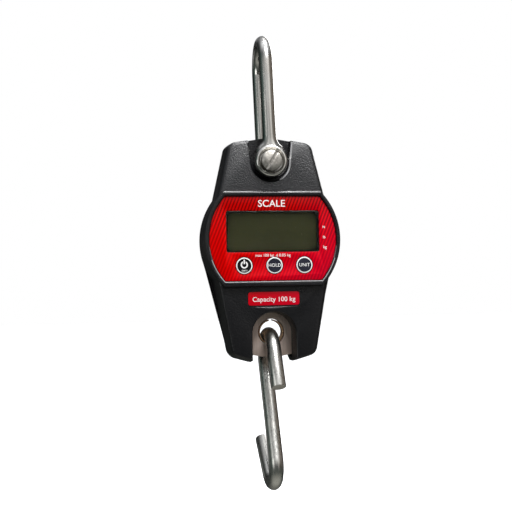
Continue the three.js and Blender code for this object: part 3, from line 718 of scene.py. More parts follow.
# ---------------------------------------------------------------------------------------
# Places taken from the frame
# ---------------------------------------------------------------------------------------
@dataclass
class Datum:
    """Centres of the assembly, read from the frame, in metres."""

    panel_top: float = 23.3
    panel: Vector = field(init=False)
    pin: Vector = field(init=False)
    eye: Vector = field(init=False)

    def __post_init__(self) -> None:
        """Reads the display panel, the pin and the hook's eye."""
        low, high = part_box("graphic_panel")
        self.panel = Vector(((low.x + high.x) / 2, 0, high.z - self.panel_top * MM))
        self.pin = self._axis("pin_bush")
        low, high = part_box("eye_bush")
        self.eye = Vector(((low.x + high.x) / 2, 0, low.z + (high.x - low.x) / 2))

    @staticmethod
    def _axis(node: str) -> Vector:
        """Returns the middle of a round node, in the middle plane."""
        low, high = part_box(node)
        return Vector(((low.x + high.x) / 2, 0, (low.z + high.z) / 2))

    def height(self, place: Vector) -> float:
        """Returns a place's height over the display's centre, in millimetres."""
        return (place.z - self.panel.z) / MM


# ---------------------------------------------------------------------------------------
# Casing
# ---------------------------------------------------------------------------------------
@dataclass
class Casing:
    """Front and rear shells, shaped from blocks and discs and joined."""

    datum: Datum
    palette: Palette
    part_gap: float = 0.15
    wall: float = 2.0
    draft: float = 2.1
    draft_depth: float = 16.2
    top_ridge: float = 58.2
    bottom: float = -68.3
    face_top: float = 13.0
    face_bezel: float = 15.5
    face_low: float = 16.2
    rear_low: float = 15.5
    bezel_r: float = 37.4
    bezel_foot_r: float = 39.59
    bezel_y: float = 19.5
    bezel_top: float = 26.2
    bezel_bottom: float = -25.8
    plate: tuple[float, float] = (17.7, 15.7)
    recess_r: float = 10.75
    channel_half: float = 12.5
    slot_z: float = -52.1
    slot_r: float = 12.2
    slot_back_r: float = 11.4
    lip: float = 1.7
    keep_back: float = 3.9
    flat_fall: float = 1.6
    key_hole_r: float = 4.9
    outline: tuple = (
        ((32.4, 22.0), (25.3, 53.2)), ((25.3, 53.2), (21.8, 56.0)), ((21.8, 56.0), (8.0, 58.2)),
        ((25.4, -62.6), (32.6, -23.2)), ((22.6, -65.7), (25.4, -62.6)), ((13.5, -68.3), (22.6, -65.7)),
    )
    case_screws: tuple = ((-19.6, 46.5), (19.6, 46.5), (-19.2, -56.5), (19.2, -56.5))
    cell_screws: tuple = ((-8.0, 26.6), (8.0, 26.6))
    keys: tuple = ((-16.3, -14.6), (0.4, -14.6), (17.0, -14.6))

    @property
    def face_slope(self) -> float:
        """Depth that the upper face gains for each millimetre down."""
        return (self.face_bezel - self.face_top) / (self.top_ridge - self.bezel_top)

    def _outer(self, name: str, low_y: float, inset: float, back: float) -> Workpiece:
        """Drafted body without the bezel.

        Args:
            name: the piece's name.
            low_y: depth of the lower face.
            inset: how far every wall is drawn in.
            back: Y of the open side.

        Returns:
            The body, its front towards -Y.
        """
        body = Workpiece.block(
            name, (-40, -(low_y - inset), self.bottom + inset), (40, back, self.top_ridge - inset))
        for (x0, z0), (x1, z1) in self.outline:
            along = Vector((x1 - x0, 0, z1 - z0))
            out = Vector((abs(along.z), 0, abs(along.x) * (1 if z0 > 0 else -1))).normalized()
            inward = Vector((-self.draft * out.x, -self.draft_depth, -self.draft * out.z))
            normal = along.cross(inward).normalized()
            if normal.dot(out) < 0:
                normal.negate()
            point = Vector((x0, 0, z0)) - normal * inset
            body.slice(point, normal)
            body.slice((-point.x, point.y, point.z), (-normal.x, normal.y, normal.z))
        slope = self.face_slope
        body.slice((0, -(self.face_top - inset), self.top_ridge), (0, -1, slope))
        return body

    def _bezel(
        self, name: str, front_y: float, front_r: float, inset: float, back: float, edge: float,
    ) -> Workpiece:
        """Round middle of the casing, cut flat above and below.

        Args:
            name: the piece's name.
            front_y: depth of its face.
            front_r: radius at its face.
            inset: how far every wall is drawn in.
            back: Y of the open side.
            edge: rounding of the front edge.

        Returns:
            The disc.
        """
        disc = Workpiece.round(
            name, self.bezel_foot_r - inset, -front_y, back, sides=160, radius_front=front_r - inset)
        fall = self.flat_fall / front_y
        for z, sign in ((self.bezel_top - inset, 1), (self.bezel_bottom + inset, -1)):
            disc.slice((0, -front_y, z), (0, -fall, sign))
            if edge > 0 and sign > 0:
                disc.bevel(0.75, 1, lambda p, ns: p.y < -front_y + 0.05 and p.z > z - 0.05)
        if edge > 0:
            disc.bevel(edge, 5, lambda p, ns: p.y < -front_y + 0.05)
        return disc

    def _keyhole(self, grow: float, depth: float) -> Workpiece:
        """Recess round a shackle eye, with its channel to the top edge."""
        pin_z = self.datum.height(self.datum.pin)
        low, high = self.recess_r + grow, self.channel_half + grow
        channel = Workpiece.block("channel", (-high - 1, -30, pin_z), (high + 1, -depth, self.top_ridge + 8))
        rise = self.top_ridge - pin_z
        for sign in (-1, 1):
            channel.slice((sign * low, 0, pin_z), (sign * rise, 0, -(high - low)))
        return channel

    def _arch(self, grow: float, y_front: float, y_back: float) -> Workpiece:
        """Arched slot for the hook, open below, narrower at the back."""
        shrink = self.slot_r - self.slot_back_r
        front, rear = self.slot_r + grow, self.slot_r + grow - shrink
        arch = Workpiece.round("arch", rear, y_front, y_back, 0, self.slot_z, 96, front)
        legs = Workpiece.block("legs", (-front, y_front, self.bottom - 6), (front, y_back, self.slot_z))
        depth = y_back - y_front
        for sign in (-1, 1):
            legs.slice((sign * front, y_front, 0), (sign * depth, shrink, 0))
        return arch.join(legs)

    def _shell(self, name: str, low_y: float, bezel_y: float, bezel_r: float, plate_back: float) -> Workpiece:
        """Shell without its own features, shaped at the front.

        Args:
            name: the piece's name.
            low_y: depth of the lower face.
            bezel_y: depth of the round middle.
            bezel_r: radius of the round middle at its face.
            plate_back: depth of the inside of the round middle.

        Returns:
            The hollow shell with its recess and slot.
        """
        pin_z = self.datum.height(self.datum.pin)
        shell = self._outer(name, low_y, 0, -self.part_gap)
        shell.bevel(
            1.85, 4, lambda p, ns: abs(p.x) > 20 and abs(p.z) > 50 and all(abs(n.y) < 0.4 for n in ns))
        shell.bevel(
            1.7, 4, lambda p, ns: min(n.y for n in ns) < -0.95 and max(n.y for n in ns) > -0.5)
        shell.join(self._bezel("bezel", bezel_y, bezel_r, 0, -self.part_gap, 0.9))
        hollow = self._outer("hollow", low_y, self.wall, 1)
        hollow.join(self._bezel("bezel_hollow", plate_back, bezel_r, self.wall, 1, 0))
        keep_back = self.keep_back
        ring = Workpiece.round("ring", self.recess_r + self.lip, -30, -keep_back, 0, pin_z, 72)
        hollow.cut(ring, self._keyhole(self.lip, keep_back), self._arch(self.lip, -30, -keep_back))
        shell.cut(hollow)
        shell.cut(self._keyhole(0, 6.3), Workpiece.round("pocket", self.recess_r, -30, -5.2, 0, pin_z, 96))
        shell.cut(
            self._arch(0, -low_y - 0.01, -keep_back + 0.01),
            Workpiece.round("bore", 7, -10, 2, 0, pin_z, 48))
        shell.cut(Workpiece.block(
            "mouth", (-self.slot_back_r, -keep_back - 0.2, -72), (self.slot_back_r, 2, -65.7)))
        return shell

    def _ease_mouths(self, shell: Workpiece) -> None:
        """Rounds the lips of the front's recess and slot."""
        pin_z = self.datum.height(self.datum.pin)

        def near_mouth(p: Vector) -> bool:
            """Says whether a point is round the recess."""
            return abs(p.x) < 13.4 and p.z > pin_z - 12

        def on_face(ns: list[Vector]) -> bool:
            """Says whether an edge is between a front face and a wall."""
            return any(n.y < -0.97 for n in ns) and any(abs(n.y) < 0.3 for n in ns)

        shell.bevel(1.0, 3, lambda p, ns: 11 < abs(p.x) < 12.6 and p.z < -64 and p.y < -self.keep_back
                    and all(abs(n.y) < 0.3 for n in ns) and ns[0].angle(ns[1]) > 1, clamp=False)
        shell.bevel(0.8, 1, lambda p, ns: near_mouth(p) and p.y < -11 and on_face(ns) and abs(
            p.y + self.face_top + self.face_slope * (self.top_ridge - p.z)) < 0.4, clamp=False)
        shell.bevel(1.0, 3, lambda p, ns: abs(p.x) < 12.6 and p.z < self.slot_z + 13 and on_face(ns)
                    and abs(p.y + self.face_low) < 0.2, clamp=False)

    def front(self) -> None:
        """Builds the front shell with its panel seat, window and key holes."""
        shell = self._shell("casing_front", self.face_low, self.bezel_y, self.bezel_r, self.plate[1])
        self._ease_mouths(shell.clean())
        seat = Workpiece.round("seat", 35.3, -30, -self.plate[0], sides=160)
        seat.slice((0, 0, 23.6), (0, 0, 1)).slice((0, 0, -23.1), (0, 0, -1))
        window = Workpiece.block("window", (-25.8, -30, -7.3), (25.8, -10, 15.6))
        window.bevel(1.1, 4, lambda p, ns: all(abs(n.y) < 0.1 for n in ns))
        holes = [Workpiece.round("hole", self.key_hole_r, -30, -10, x, z, 48) for x, z in self.keys]
        label = Workpiece.block("label_seat", (-14.5, -30, -37.2), (14.5, -self.face_low + 0.35, -28.7))
        label.bevel(1.4, 4, lambda p, ns: all(abs(n.y) < 0.1 for n in ns))
        shell.cut(seat, window, *holes, label)
        shell.bevel(0.6, 2, lambda p, ns: p.y < -self.bezel_y + 0.05 and any(n.y < -0.99 for n in ns) and any(
            n.x * p.x + n.z * p.z < -3 for n in ns), clamp=False)
        shell.bevel(
            0.5, 2, lambda p, ns: abs(p.z + 37.2) < 0.05 and abs(p.y + self.face_low) < 0.05, clamp=False)
        for x, z in self.case_screws:
            boss = Workpiece.round("boss", 3.2, -12.8, -self.part_gap, x, z, 24)
            boss.cut(Workpiece.round("pilot", 1.6, -10, 1, x, z, 16))
            shell.join(boss)
        shell.clean()
        self._inside(shell, -1)
        pin_z = self.datum.height(self.datum.pin)
        # Painted highlight: the seat's lower inner rim, which faces up, takes the light grey rim finish.
        shell.paint(2, lambda c, n: c.y < -self.bezel_y + 0.7 and c.z < 0 and n.z > 0.12 and n.y < -0.3
                    and n.z + n.y < -0.1 and n.x * c.x + n.z * c.z < -6)
        # Painted highlight: the recess's right-hand edge takes the light grey rim finish.
        shell.paint(2, lambda c, n: 0 < c.x < 13.4 and c.z > pin_z - 12 and c.y < -12 and -0.9 < n.y < -0.4
                    and n.x * c.x < -0.3 * abs(c.x))
        shell.place(self.datum.panel).finish(
            "casing", "shell_plastic",
            self.palette["shell"], self.palette["shell_inside"], self.palette["rim_painted_highlight"],
            stands_for=("front_cover",), smooth=28)

    def rear(self) -> None:
        """Builds the rear shell with its battery hump, door track and screw seats."""
        shell = self._shell(
            "casing_rear", self.rear_low, self.rear_low, 36.8, self.rear_low - self.wall).to_rear()
        hump = Workpiece.block("hump", (-33, 13.6, -22), (33, 17.4, 24))
        hump.bevel(4.0, 6, lambda p, ns: all(abs(n.y) < 0.1 for n in ns))
        hump.bevel(0.8, 3, lambda p, ns: p.y > 17.3)
        shell.join(hump)
        for x, z in self.case_screws:
            shell.join(Workpiece.round("post", 4.2, self.part_gap, 13.4, x, z, 32))
        for x, z in self.cell_screws:
            shell.join(Workpiece.round("cell_post", 3.2, 3.6, 14, x, z, 32))
        shell.cut(
            Workpiece.block("bay", (-27.3, 0, -18.7), (27.3, 30, 18.7)),
            Workpiece.block("door_face", (-28.3, 15.6, -27), (28.3, 30, 20.9)),
            Workpiece.block("door_groove", (-29.5, 15.6, -27), (29.5, 16.9, 20.9)))
        for x, z in self.case_screws + self.cell_screws:
            shell.cut(
                Workpiece.round("hole", 1.6, -1, 20, x, z, 16), Workpiece.round("seat", 3.1, 9, 30, x, z, 36))
        shell.clean()
        shell.bevel(0.35, 2, lambda p, ns: p.y > 12 and any(n.y > 0.97 for n in ns) and any(
            abs(n.y) < 0.2 for n in ns) and any(
            abs(math.hypot(p.x - x, p.z - z) - 3.1) < 0.3 for x, z in self.case_screws + self.cell_screws))
        self._inside(shell, 1)
        shell.place(self.datum.panel).finish(
            "casing", "shell_plastic", self.palette["shell"], self.palette["shell_inside"],
            stands_for=("rear_cover",), smooth=28)

    @staticmethod
    def _inside(shell: Workpiece, side: int) -> None:
        """Marks the faces that look towards the middle plane as smoother inner ones."""
        shell.paint(1, lambda centre, normal: side * normal.y < -0.9)


# ---------------------------------------------------------------------------------------
# Display and keys
# ---------------------------------------------------------------------------------------
class Legend(Enum):
    """Generic printed words, with size, X and Z over the display's centre."""

    KIND = ("SCALE", 5.4, -0.6, 19.3)
    RATING = ("max 100 kg  d 0.05 kg", 2.2, -0.4, -9.1)
    UNIT_N = ("N", 1.9, 28.4, 6.2)
    UNIT_LB = ("lb", 2.1, 28.5, 0.6)
    UNIT_KG = ("kg", 2.3, 28.8, -4.9)
    CAPACITY = ("Capacity 100 kg", 3.7, 0.0, -33.2)


@dataclass
class Display:
    """Red panel, window, display glass, printed legends and the capacity label."""

    datum: Datum
    palette: Palette
    panel_y: tuple[float, float] = (-18.5, -17.8)
    radius: float = 35.0
    window: tuple[float, float, float] = (25.8, -7.3, 15.6)
    glass_half: float = 28.0
    label_y: tuple[float, float] = (-16.25, -15.95)

    def panel(self) -> None:
        """Builds the red panel, with a thin rounded edge round the window."""
        sheet = Workpiece.round("red_panel", self.radius, *self.panel_y, sides=160)
        sheet.slice((0, 0, 23.3), (0, 0, 1)).slice((0, 0, -22.8), (0, 0, -1))
        half, low, high = self.window
        opening = Workpiece.block("opening", (-half, -30, low), (half, -10, high))
        opening.bevel(1.1, 4, lambda p, ns: all(abs(n.y) < 0.1 for n in ns))
        sheet.cut(opening, *[
            Workpiece.round("hole", Casing.key_hole_r, -30, -10, x, z, 48) for x, z in Casing.keys])
        sheet.clean()
        sheet.bevel(
            0.15, 2, lambda p, ns: abs(p.y - self.panel_y[0]) < 0.02 and any(abs(n.y) < 0.2 for n in ns))
        sheet.place(self.datum.panel).finish(
            "casing", "red_film", self.palette["film"], stands_for=("graphic_panel",))

    def pane(self) -> None:
        """Builds the window pane and its black printed border behind it."""
        half, low, high = self.window
        pane = Workpiece.block(
            "window_pane", (-half + 0.15, -17.3, low + 0.15), (half - 0.15, -15.85, high - 0.15))
        pane.bevel(0.9, 4, lambda p, ns: all(abs(n.y) < 0.1 for n in ns))
        pane.bevel(0.05, 1, lambda p, ns: p.y < -17.2)
        pane.place(self.datum.panel).finish(
            "casing", "clear_window", self.palette["pane"], stands_for=("display_window",))
        border = Workpiece.block(
            "window_border", (-half - 0.6, -15.66, low - 0.6), (half + 0.6, -15.5, high + 0.6))
        hole = Workpiece.block("hole", (-half + 0.9, -20, low + 0.9), (half - 0.9, -10, high - 0.9))
        hole.bevel(1.6, 4, lambda p, ns: all(abs(n.y) < 0.1 for n in ns))
        border.cut(hole).place(self.datum.panel).finish("casing", "key_black", self.palette["mask"])

    def glass(self) -> None:
        """Builds the display glass as one block with rounded edges."""
        half = self.glass_half
        glass = Workpiece.block("lcd_plates", (-half, -14.9, -8.6), (half, -12.1, 19.0))
        glass.bevel(0.25, 2, lambda p, ns: True)
        glass.place(self.datum.panel).finish("casing", "lcd", self.palette["lcd"], stands_for=("lcd_glass",))

    def label(self) -> None:
        """Builds the capacity label in its seat."""
        label = Workpiece.block(
            "rating_label", (-14.2, self.label_y[0], -36.4), (14.2, self.label_y[1], -29.0))
        label.bevel(1.3, 5, lambda p, ns: all(abs(n.y) < 0.1 for n in ns))
        label.bevel(0.08, 2, lambda p, ns: p.y < self.label_y[0] + 0.02)
        label.place(self.datum.panel).finish(
            "casing", "red_film", self.palette["label"], stands_for=("capacity_label",))

    def legends(self) -> None:
        """Prints the generic words."""
        for legend in Legend:
            words, size, x, z = legend.value
            surface = self.label_y[0] if legend is Legend.CAPACITY else self.panel_y[0]
            centre = self.datum.panel + Vector((x, surface - 0.03, z)) * MM
            print_words(
                f"print_{legend.name.lower()}", words, size, centre,
                "casing", "white_plastic", self.palette["ink"])


def print_words(
    name: str, words: str, size: float, centre: Vector, body: str, slot: str, material: bpy.types.Material,
) -> None:
    """Prints words as a thin raised film facing the reader.

    Args:
        name: the piece's name.
        words: generic words.
        size: height of the type, in millimetres.
        centre: middle of the words, in metres.
        body: the body that they ride on.
        slot: not used.
        material: the ink.
    """
    bpy.ops.object.select_all(action="DESELECT")
    bpy.ops.object.text_add()
    text = bpy.context.object
    text.data.body = words
    text.data.size = size
    text.data.align_x = "CENTER"
    text.data.align_y = "CENTER"
    text.data.extrude = 0.03
    text.data.offset = 0.004 * size
    text.data.resolution_u = 4
    bpy.ops.object.convert(target="MESH")
    print_film = Workpiece(bpy.context.object, name)
    print_film.edit(lambda: bpy.ops.mesh.remove_doubles(threshold=0.0005))
    print_film.place(centre, Axis.FRONT.value).finish(body, slot, material)


class Key(Enum):
    """The three keys: body, centre X, node, word under or on the key."""

    POWER = ("power_key", -16.3, "button_power", "ZERO")
    HOLD = ("hold_key", 0.4, "button_hold", "HOLD")
    UNIT = ("unit_key", 17.0, "button_unit", "UNIT")


@dataclass
class Keys:
    """Round keys with a white ring, a dark face and their marks."""

    datum: Datum
    palette: Palette
    radius: float = 4.55
    ring: float = 0.34
    front: float = -18.8
    height: float = -14.6

    def build(self) -> None:
        """Builds each key and its mark."""
        for key in Key:
            body, x, node, word = key.value
            centre = self.datum.panel + Vector((x, 0, self.height)) * MM
            cap = self._cap(f"key_{key.name.lower()}")
            dark = self.palette["key_black" if key is Key.POWER else "key_navy"]
            cap.place(centre).finish(body, "key_black", dark, self.palette["ink"], stands_for=(node,))
            face = Vector((0, self.front - 0.03, 0))
            if key is Key.POWER:
                self._power_mark(centre, face, body)
                print_words("mark_zero", word, 1.25, centre + (face + Vector((0, 0, -2.75))) * MM, body,
                            "white_plastic", self.palette["ink"])
            else:
                print_words(f"mark_{word.lower()}", word, 2.6, centre + face * MM, body,
                            "white_plastic", self.palette["ink"])

    def _cap(self, name: str) -> Workpiece:
        """One key: printed face, retaining flange and stem."""
        cap = Workpiece.turned(name, [
            (self.radius - self.ring - 0.35, self.front), (self.radius - 0.35, self.front),
            (self.radius - 0.1, self.front + 0.1), (self.radius, self.front + 0.35), (self.radius, -15.3),
            (5.2, -15.3), (5.2, -14.6), (1.5, -14.6), (1.5, -14.3),
        ], 64)
        inner, outer = self.radius - self.ring - 0.35, self.radius - 0.1
        return cap.paint(1, lambda c, n: c.y < self.front + 0.2 and inner < math.hypot(c.x, c.z) < outer)

    def _power_mark(self, centre: Vector, face: Vector, body: str) -> None:
        """Open ring with a short upright bar."""
        mark = Workpiece.round("mark_power", 2.0, 0, 0.06, 0, 0.5, 48)
        mark.cut(
            Workpiece.round("inner", 1.25, -1, 1, 0, 0.5, 48),
            Workpiece.block("gap", (-0.75, -1, 1.1), (0.75, 1, 4)))
        mark.join(Workpiece.block("stroke", (-0.34, 0, 0.9), (0.34, 0.06, 3.3)))
        mark.place(centre + face * MM).finish(body, "white_plastic", self.palette["ink"])


# ---------------------------------------------------------------------------------------
# Load path: shackle, pin, cell, bush, hook
# ---------------------------------------------------------------------------------------
@dataclass
class Shackle:
    """Bow of round bar with two eyes, and its slotted screw pin, leaning a little."""

    datum: Datum
    palette: Palette
    lean: float = -1.65
    leg_y: float = 15.0
    bar_r: float = 3.85
    flare: tuple = ((13.6, 3.95, 3.87), (12.2, 4.2, 3.9), (11.0, 4.65, 3.95), (10.0, 5.25, 4.0),
                    (9.1, 6.05, 4.05), (8.2, 7.0, 4.1), (6.4, 8.0, 4.1), (4.0, 8.2, 3.6))
    seat_r: float = 6.4
    head_r: float = 5.7
    head_y: float = -20.3
    slot_width: float = 1.3
    slot_angle: float = 31.5

    @property
    def turn(self) -> tuple[float, float, float]:
        """Lean of the whole shackle about the pin."""
        return (0.0, math.radians(self.lean), 0.0)

    @property
    def bend(self) -> float:
        """Height over the pin at which the legs run into the crown's half circle."""
        return -self.datum.pin.z / MM + self.bar_r - self.leg_y

    def _crown(self) -> Workpiece:
        """Half circle of bar at the top of the bow, open for a leg at each end."""
        bend = self.bend
        crown = Workpiece.disc("shackle", self.bar_r, (0, -self.leg_y, bend), Axis.UP, 40)
        bpy.ops.object.mode_set(mode="EDIT")
        bpy.ops.mesh.select_all(action="SELECT")
        bpy.ops.mesh.spin(
            steps=40, angle=math.pi, center=(0, 0, bend), axis=(1, 0, 0), use_normal_flip=False)
        bpy.ops.object.mode_set(mode="OBJECT")
        return crown

    def _draw_down(self, bow: Workpiece, side: int) -> None:
        """Draws one end of the bow down into the flare over an eye."""
        bend = self.bend

        def pick() -> None:
            mesh = bmesh.from_edit_mesh(bow.obj.data)
            for face in mesh.faces:
                centre = face.calc_center_median()
                face.select_set(abs(centre.y - side * self.leg_y) < 0.1 and abs(centre.z - bend) < 0.01)
            bmesh.update_edit_mesh(bow.obj.data)

        bow.open_edit()
        bpy.ops.mesh.select_mode(type="FACE")
        bpy.ops.mesh.select_all(action="DESELECT")
        pick()
        z, wide, thick = bend, self.bar_r, self.bar_r
        stations = [(bend - (bend - 13.6) * i / 6, self.bar_r, self.bar_r) for i in range(1, 6)]
        for next_z, next_wide, next_thick in [*stations, *self.flare]:
            bpy.ops.mesh.extrude_region_move(TRANSFORM_OT_translate={"value": (0, 0, next_z - z)})
            bpy.ops.transform.resize(
                value=(next_wide / wide, next_thick / thick, 1),
                center_override=(0, side * self.leg_y, next_z))
            z, wide, thick = next_z, next_wide, next_thick
        bpy.ops.object.mode_set(mode="OBJECT")

    def _eye(self) -> Workpiece:
        """Front eye: a thick ring with rounded shoulders."""
        return Workpiece.turned("eye", [
            (7.95, -19.4), (8.2, -19.3), (8.75, -18.7), (9.15, -17.6), (9.3, -16.2), (9.3, -13.4),
            (9.1, -12.0), (8.6, -11.1), (8.3, -10.8),
        ], 96)

    def bow(self) -> None:
        """Builds the bow and both eyes in one piece."""
        bow = self._crown()
        self._draw_down(bow, -1)
        self._draw_down(bow, 1)
        bow.face_out()
        bow.join(self._eye(), self._eye().to_rear())
        dish = Workpiece.round("dish", self.seat_r - 0.1, -19.9, -18.3, sides=72, radius_front=7.9)
        bow.cut(
            Workpiece.round("bore", 4.3, -30, 30, sides=48), dish,
            Workpiece.round("seat", self.seat_r, -25, -16.0, sides=72))
        bow.place(self.datum.pin, self.turn).finish(
            "shackle", "bar_steel", self.palette["bar"], stands_for=("shackle_bow",), smooth=40)

    def pin(self) -> None:
        """Builds the screw pin with its slotted head."""
        r = self.head_r
        pin = Workpiece.turned("screw_pin", [
            (r - 0.5, self.head_y), (r - 0.12, self.head_y + 0.18), (r, self.head_y + 0.55), (r, -16.3),
            (4.0, -16.3), (4.0, 18.6), (3.4, 19.2),
        ], 72)
        half = self.slot_width / 2
        slot = Workpiece.block("slot", (-half, -30, -8), (half, self.head_y + 1.4, 8))
        slot.obj.rotation_euler = (0, math.radians(self.slot_angle), 0)
        slot.apply()
        pin.cut(slot)
        pin.bevel(0.18, 2, lambda p, ns: abs(p.y - self.head_y) < 0.03 and any(abs(n.y) < 0.2 for n in ns))
        pin.place(self.datum.pin, self.turn).finish(
            "shackle", "bar_steel", self.palette["pin"], stands_for=("shackle_pin",))


@dataclass
class LoadCell:
    """Ground plate with its eyes and bending-beam slots, and the split bush."""

    datum: Datum
    palette: Palette
    half: tuple[float, float] = (13.0, 3.5)
    top: float = 54.0
    bottom: float = -65.4
    bush: tuple[float, float, float] = (6.25, 7.05, 3.2)

    def plate(self) -> None:
        """Builds the plate."""
        half_x, half_y = self.half
        plate = Workpiece.block("cell_plate", (-half_x, -half_y, self.bottom), (half_x, half_y, self.top))
        plate.slice((7, 0, self.bottom + 0.3), (1.1, 0, -6)).slice((-7, 0, self.bottom + 0.3), (-1.1, 0, -6))
        plate.bevel(7, 8, lambda p, ns: p.z > self.top - 1 and abs(p.x) > half_x - 1
                    and all(abs(n.y) < 0.1 for n in ns))
        pin_z, eye_z = self.datum.height(self.datum.pin), self.datum.height(self.datum.eye)
        plate.cut(
            Workpiece.round("pin_eye", 5.6, -9, 9, 0, pin_z, 48),
            Workpiece.round("hook_eye", 7.5, -9, 9, 0, eye_z, 72),
            Workpiece.block("beam", (-5.5, -9, -1.5), (5.5, 9, 1.5)),
            *[Workpiece.round("beam_hole", 4.2, -9, 9, x, 0, 40) for x in (-5.5, 5.5)],
            Workpiece.block("slot_left", (-20, -9, 10.8), (6.5, 9, 13.2)),
            Workpiece.block("slot_right", (-6.5, -9, -13.2), (20, 9, -10.8)),
            *[Workpiece.round("screw_hole", 1.6, -9, 9, x, z, 20) for x, z in Casing.cell_screws])
        plate.clean()
        plate.bevel(
            0.2, 2, lambda p, ns: any(abs(n.y) > 0.99 for n in ns) and any(abs(n.y) < 0.2 for n in ns))
        plate.place(self.datum.panel).finish(
            "casing", "cell_metal", self.palette["cell"], stands_for=("load_cell",))

    def split_bush(self) -> None:
        """Builds the split bush with bevelled ends, its split upwards."""
        inner, outer, half = self.bush
        ring = Workpiece.turned("split_bush", [
            (outer - 0.2, -half), (outer, -half + 0.2), (outer, half - 0.2), (outer - 0.2, half)], 96)
        bore = Workpiece.turned("bore", [
            (inner + 0.5, -half - 0.3), (inner + 0.3, -half), (inner + 0.08, -half + 0.15),
            (inner, -half + 0.4), (inner, half - 0.4), (inner + 0.08, half - 0.15),
            (inner + 0.3, half), (inner + 0.5, half + 0.3)], 96)
        ring.cut(bore, Workpiece.block("split", (-1.1, -9, 0), (1.1, 9, 20)))
        ring.place(self.datum.eye).finish(
            "hook_bush", "bronze", self.palette["bronze"], stands_for=("eye_bush",))


@dataclass
class Hook:
    """S-hook of round bar, bent twice in one plane."""

    datum: Datum
    palette: Palette
    bar_r: float = 4.09
    bend_r: float = 12.5
    lower_r: float = 10.8
    crown: tuple[float, float] = (-0.8, -53.1)
    front_turn: float = 62
    front_length: float = 23.5
    back_turn: float = 114.5
    shank: float = 54.6
    lower_turn: float = 154
    tip: float = 26
    yaw: float = 4

    def build(self) -> None:
        """Draws the bar through its bends, starting from the crown both ways."""
        centre = (0, 0, -self.bend_r)
        hook = self._start("hook")
        self._spin(centre, self.back_turn, 36)
        heading = math.radians(-self.back_turn)
        self._straight(heading, self.shank)
        end = self._end_of(self.back_turn, self.bend_r, self.shank)
        side = Vector((0, math.cos(heading + math.pi / 2), math.sin(heading + math.pi / 2)))
        self._spin(end + side * self.lower_r, -self.lower_turn, 44)
        self._straight(heading + math.radians(self.lower_turn), self.tip)
        bpy.ops.object.mode_set(mode="OBJECT")
        front = self._start("front")
        self._spin(centre, -self.front_turn, 22)
        self._straight(math.pi + math.radians(self.front_turn), self.front_length)
        bpy.ops.object.mode_set(mode="OBJECT")
        self._weld(hook, front)
        hook.bevel(0.35, 2, lambda p, ns: ns[0].angle(ns[1]) > math.radians(70))
        hook.paint(1, lambda c, n: self._end_face(c, n))
        crown_x, crown_z = self.crown
        place = self.datum.panel + Vector((crown_x, 0, crown_z)) * MM
        hook.place(place, (0, 0, math.radians(self.yaw))).finish(
            "hook", "bar_steel", self.palette["hook_bar"], self.palette["saw_cut"],
            stands_for=("s_hook",), smooth=40)

    def _start(self, name: str) -> Workpiece:
        """Starts a bar at the crown, in edit mode with its end selected."""
        bar = Workpiece.disc(name, self.bar_r, (0, 0, 0), Axis.FRONT, 40)
        bar.open_edit()
        bpy.ops.mesh.select_mode(type="FACE")
        bpy.ops.mesh.select_all(action="SELECT")
        return bar

    def _end_face(self, centre: Vector, normal: Vector) -> bool:
        """Says whether a face is one of the two sawn ends."""
        turn = math.radians(self.front_turn)
        down = Vector((0, -math.cos(turn), -math.sin(turn)))
        last = math.radians(self.lower_turn - self.back_turn)
        up = Vector((0, math.cos(last), math.sin(last)))
        front_end = normal.dot(down) > 0.999 and centre.z > -60
        lower_end = normal.dot(up) > 0.999 and centre.z < -50
        return front_end or lower_end

    @staticmethod
    def _spin(centre: Sequence[float], degrees: float, steps: int) -> None:
        """Spins the selected end about a line along X."""
        bpy.ops.mesh.spin(
            steps=steps, angle=math.radians(degrees), center=centre, axis=(1, 0, 0), use_normal_flip=False)

    @staticmethod
    def _straight(heading: float, length: float) -> None:
        """Draws the selected end out along a heading in the Y-Z plane."""
        step = (0, math.cos(heading) * length, math.sin(heading) * length)
        bpy.ops.mesh.extrude_region_move(TRANSFORM_OT_translate={"value": step})

    @staticmethod
    def _end_of(turn: float, radius: float, run: float) -> Vector:
        """Returns the centre of the bar's end after a bend and a straight run."""
        angle = math.radians(turn)
        point = Vector((0, radius * math.sin(angle), radius * (math.cos(angle) - 1)))
        return point + Vector((0, math.cos(-angle), math.sin(-angle))) * run

    @staticmethod
    def _weld(first: Workpiece, second: Workpiece) -> None:
        """Joins two bars that share a section and takes the section out."""
        bpy.ops.object.select_all(action="DESELECT")
        second.obj.select_set(True)
        first.obj.select_set(True)
        bpy.context.view_layer.objects.active = first.obj
        bpy.ops.object.join()
        first.open_edit()
        bpy.ops.mesh.select_all(action="SELECT")
        bpy.ops.mesh.remove_doubles(threshold=0.01)
        bpy.ops.mesh.select_mode(type="FACE")
        bpy.ops.mesh.select_all(action="DESELECT")
        mesh = bmesh.from_edit_mesh(first.obj.data)
        for face in mesh.faces:
            middle = face.calc_center_median()
            face.select_set(len(face.verts) > 10 and middle.length < 0.05)
        bmesh.update_edit_mesh(first.obj.data)
        bpy.ops.mesh.delete(type="ONLY_FACE")
        bpy.ops.mesh.select_all(action="SELECT")
        bpy.ops.mesh.normals_make_consistent(inside=False)
        bpy.ops.object.mode_set(mode="OBJECT")


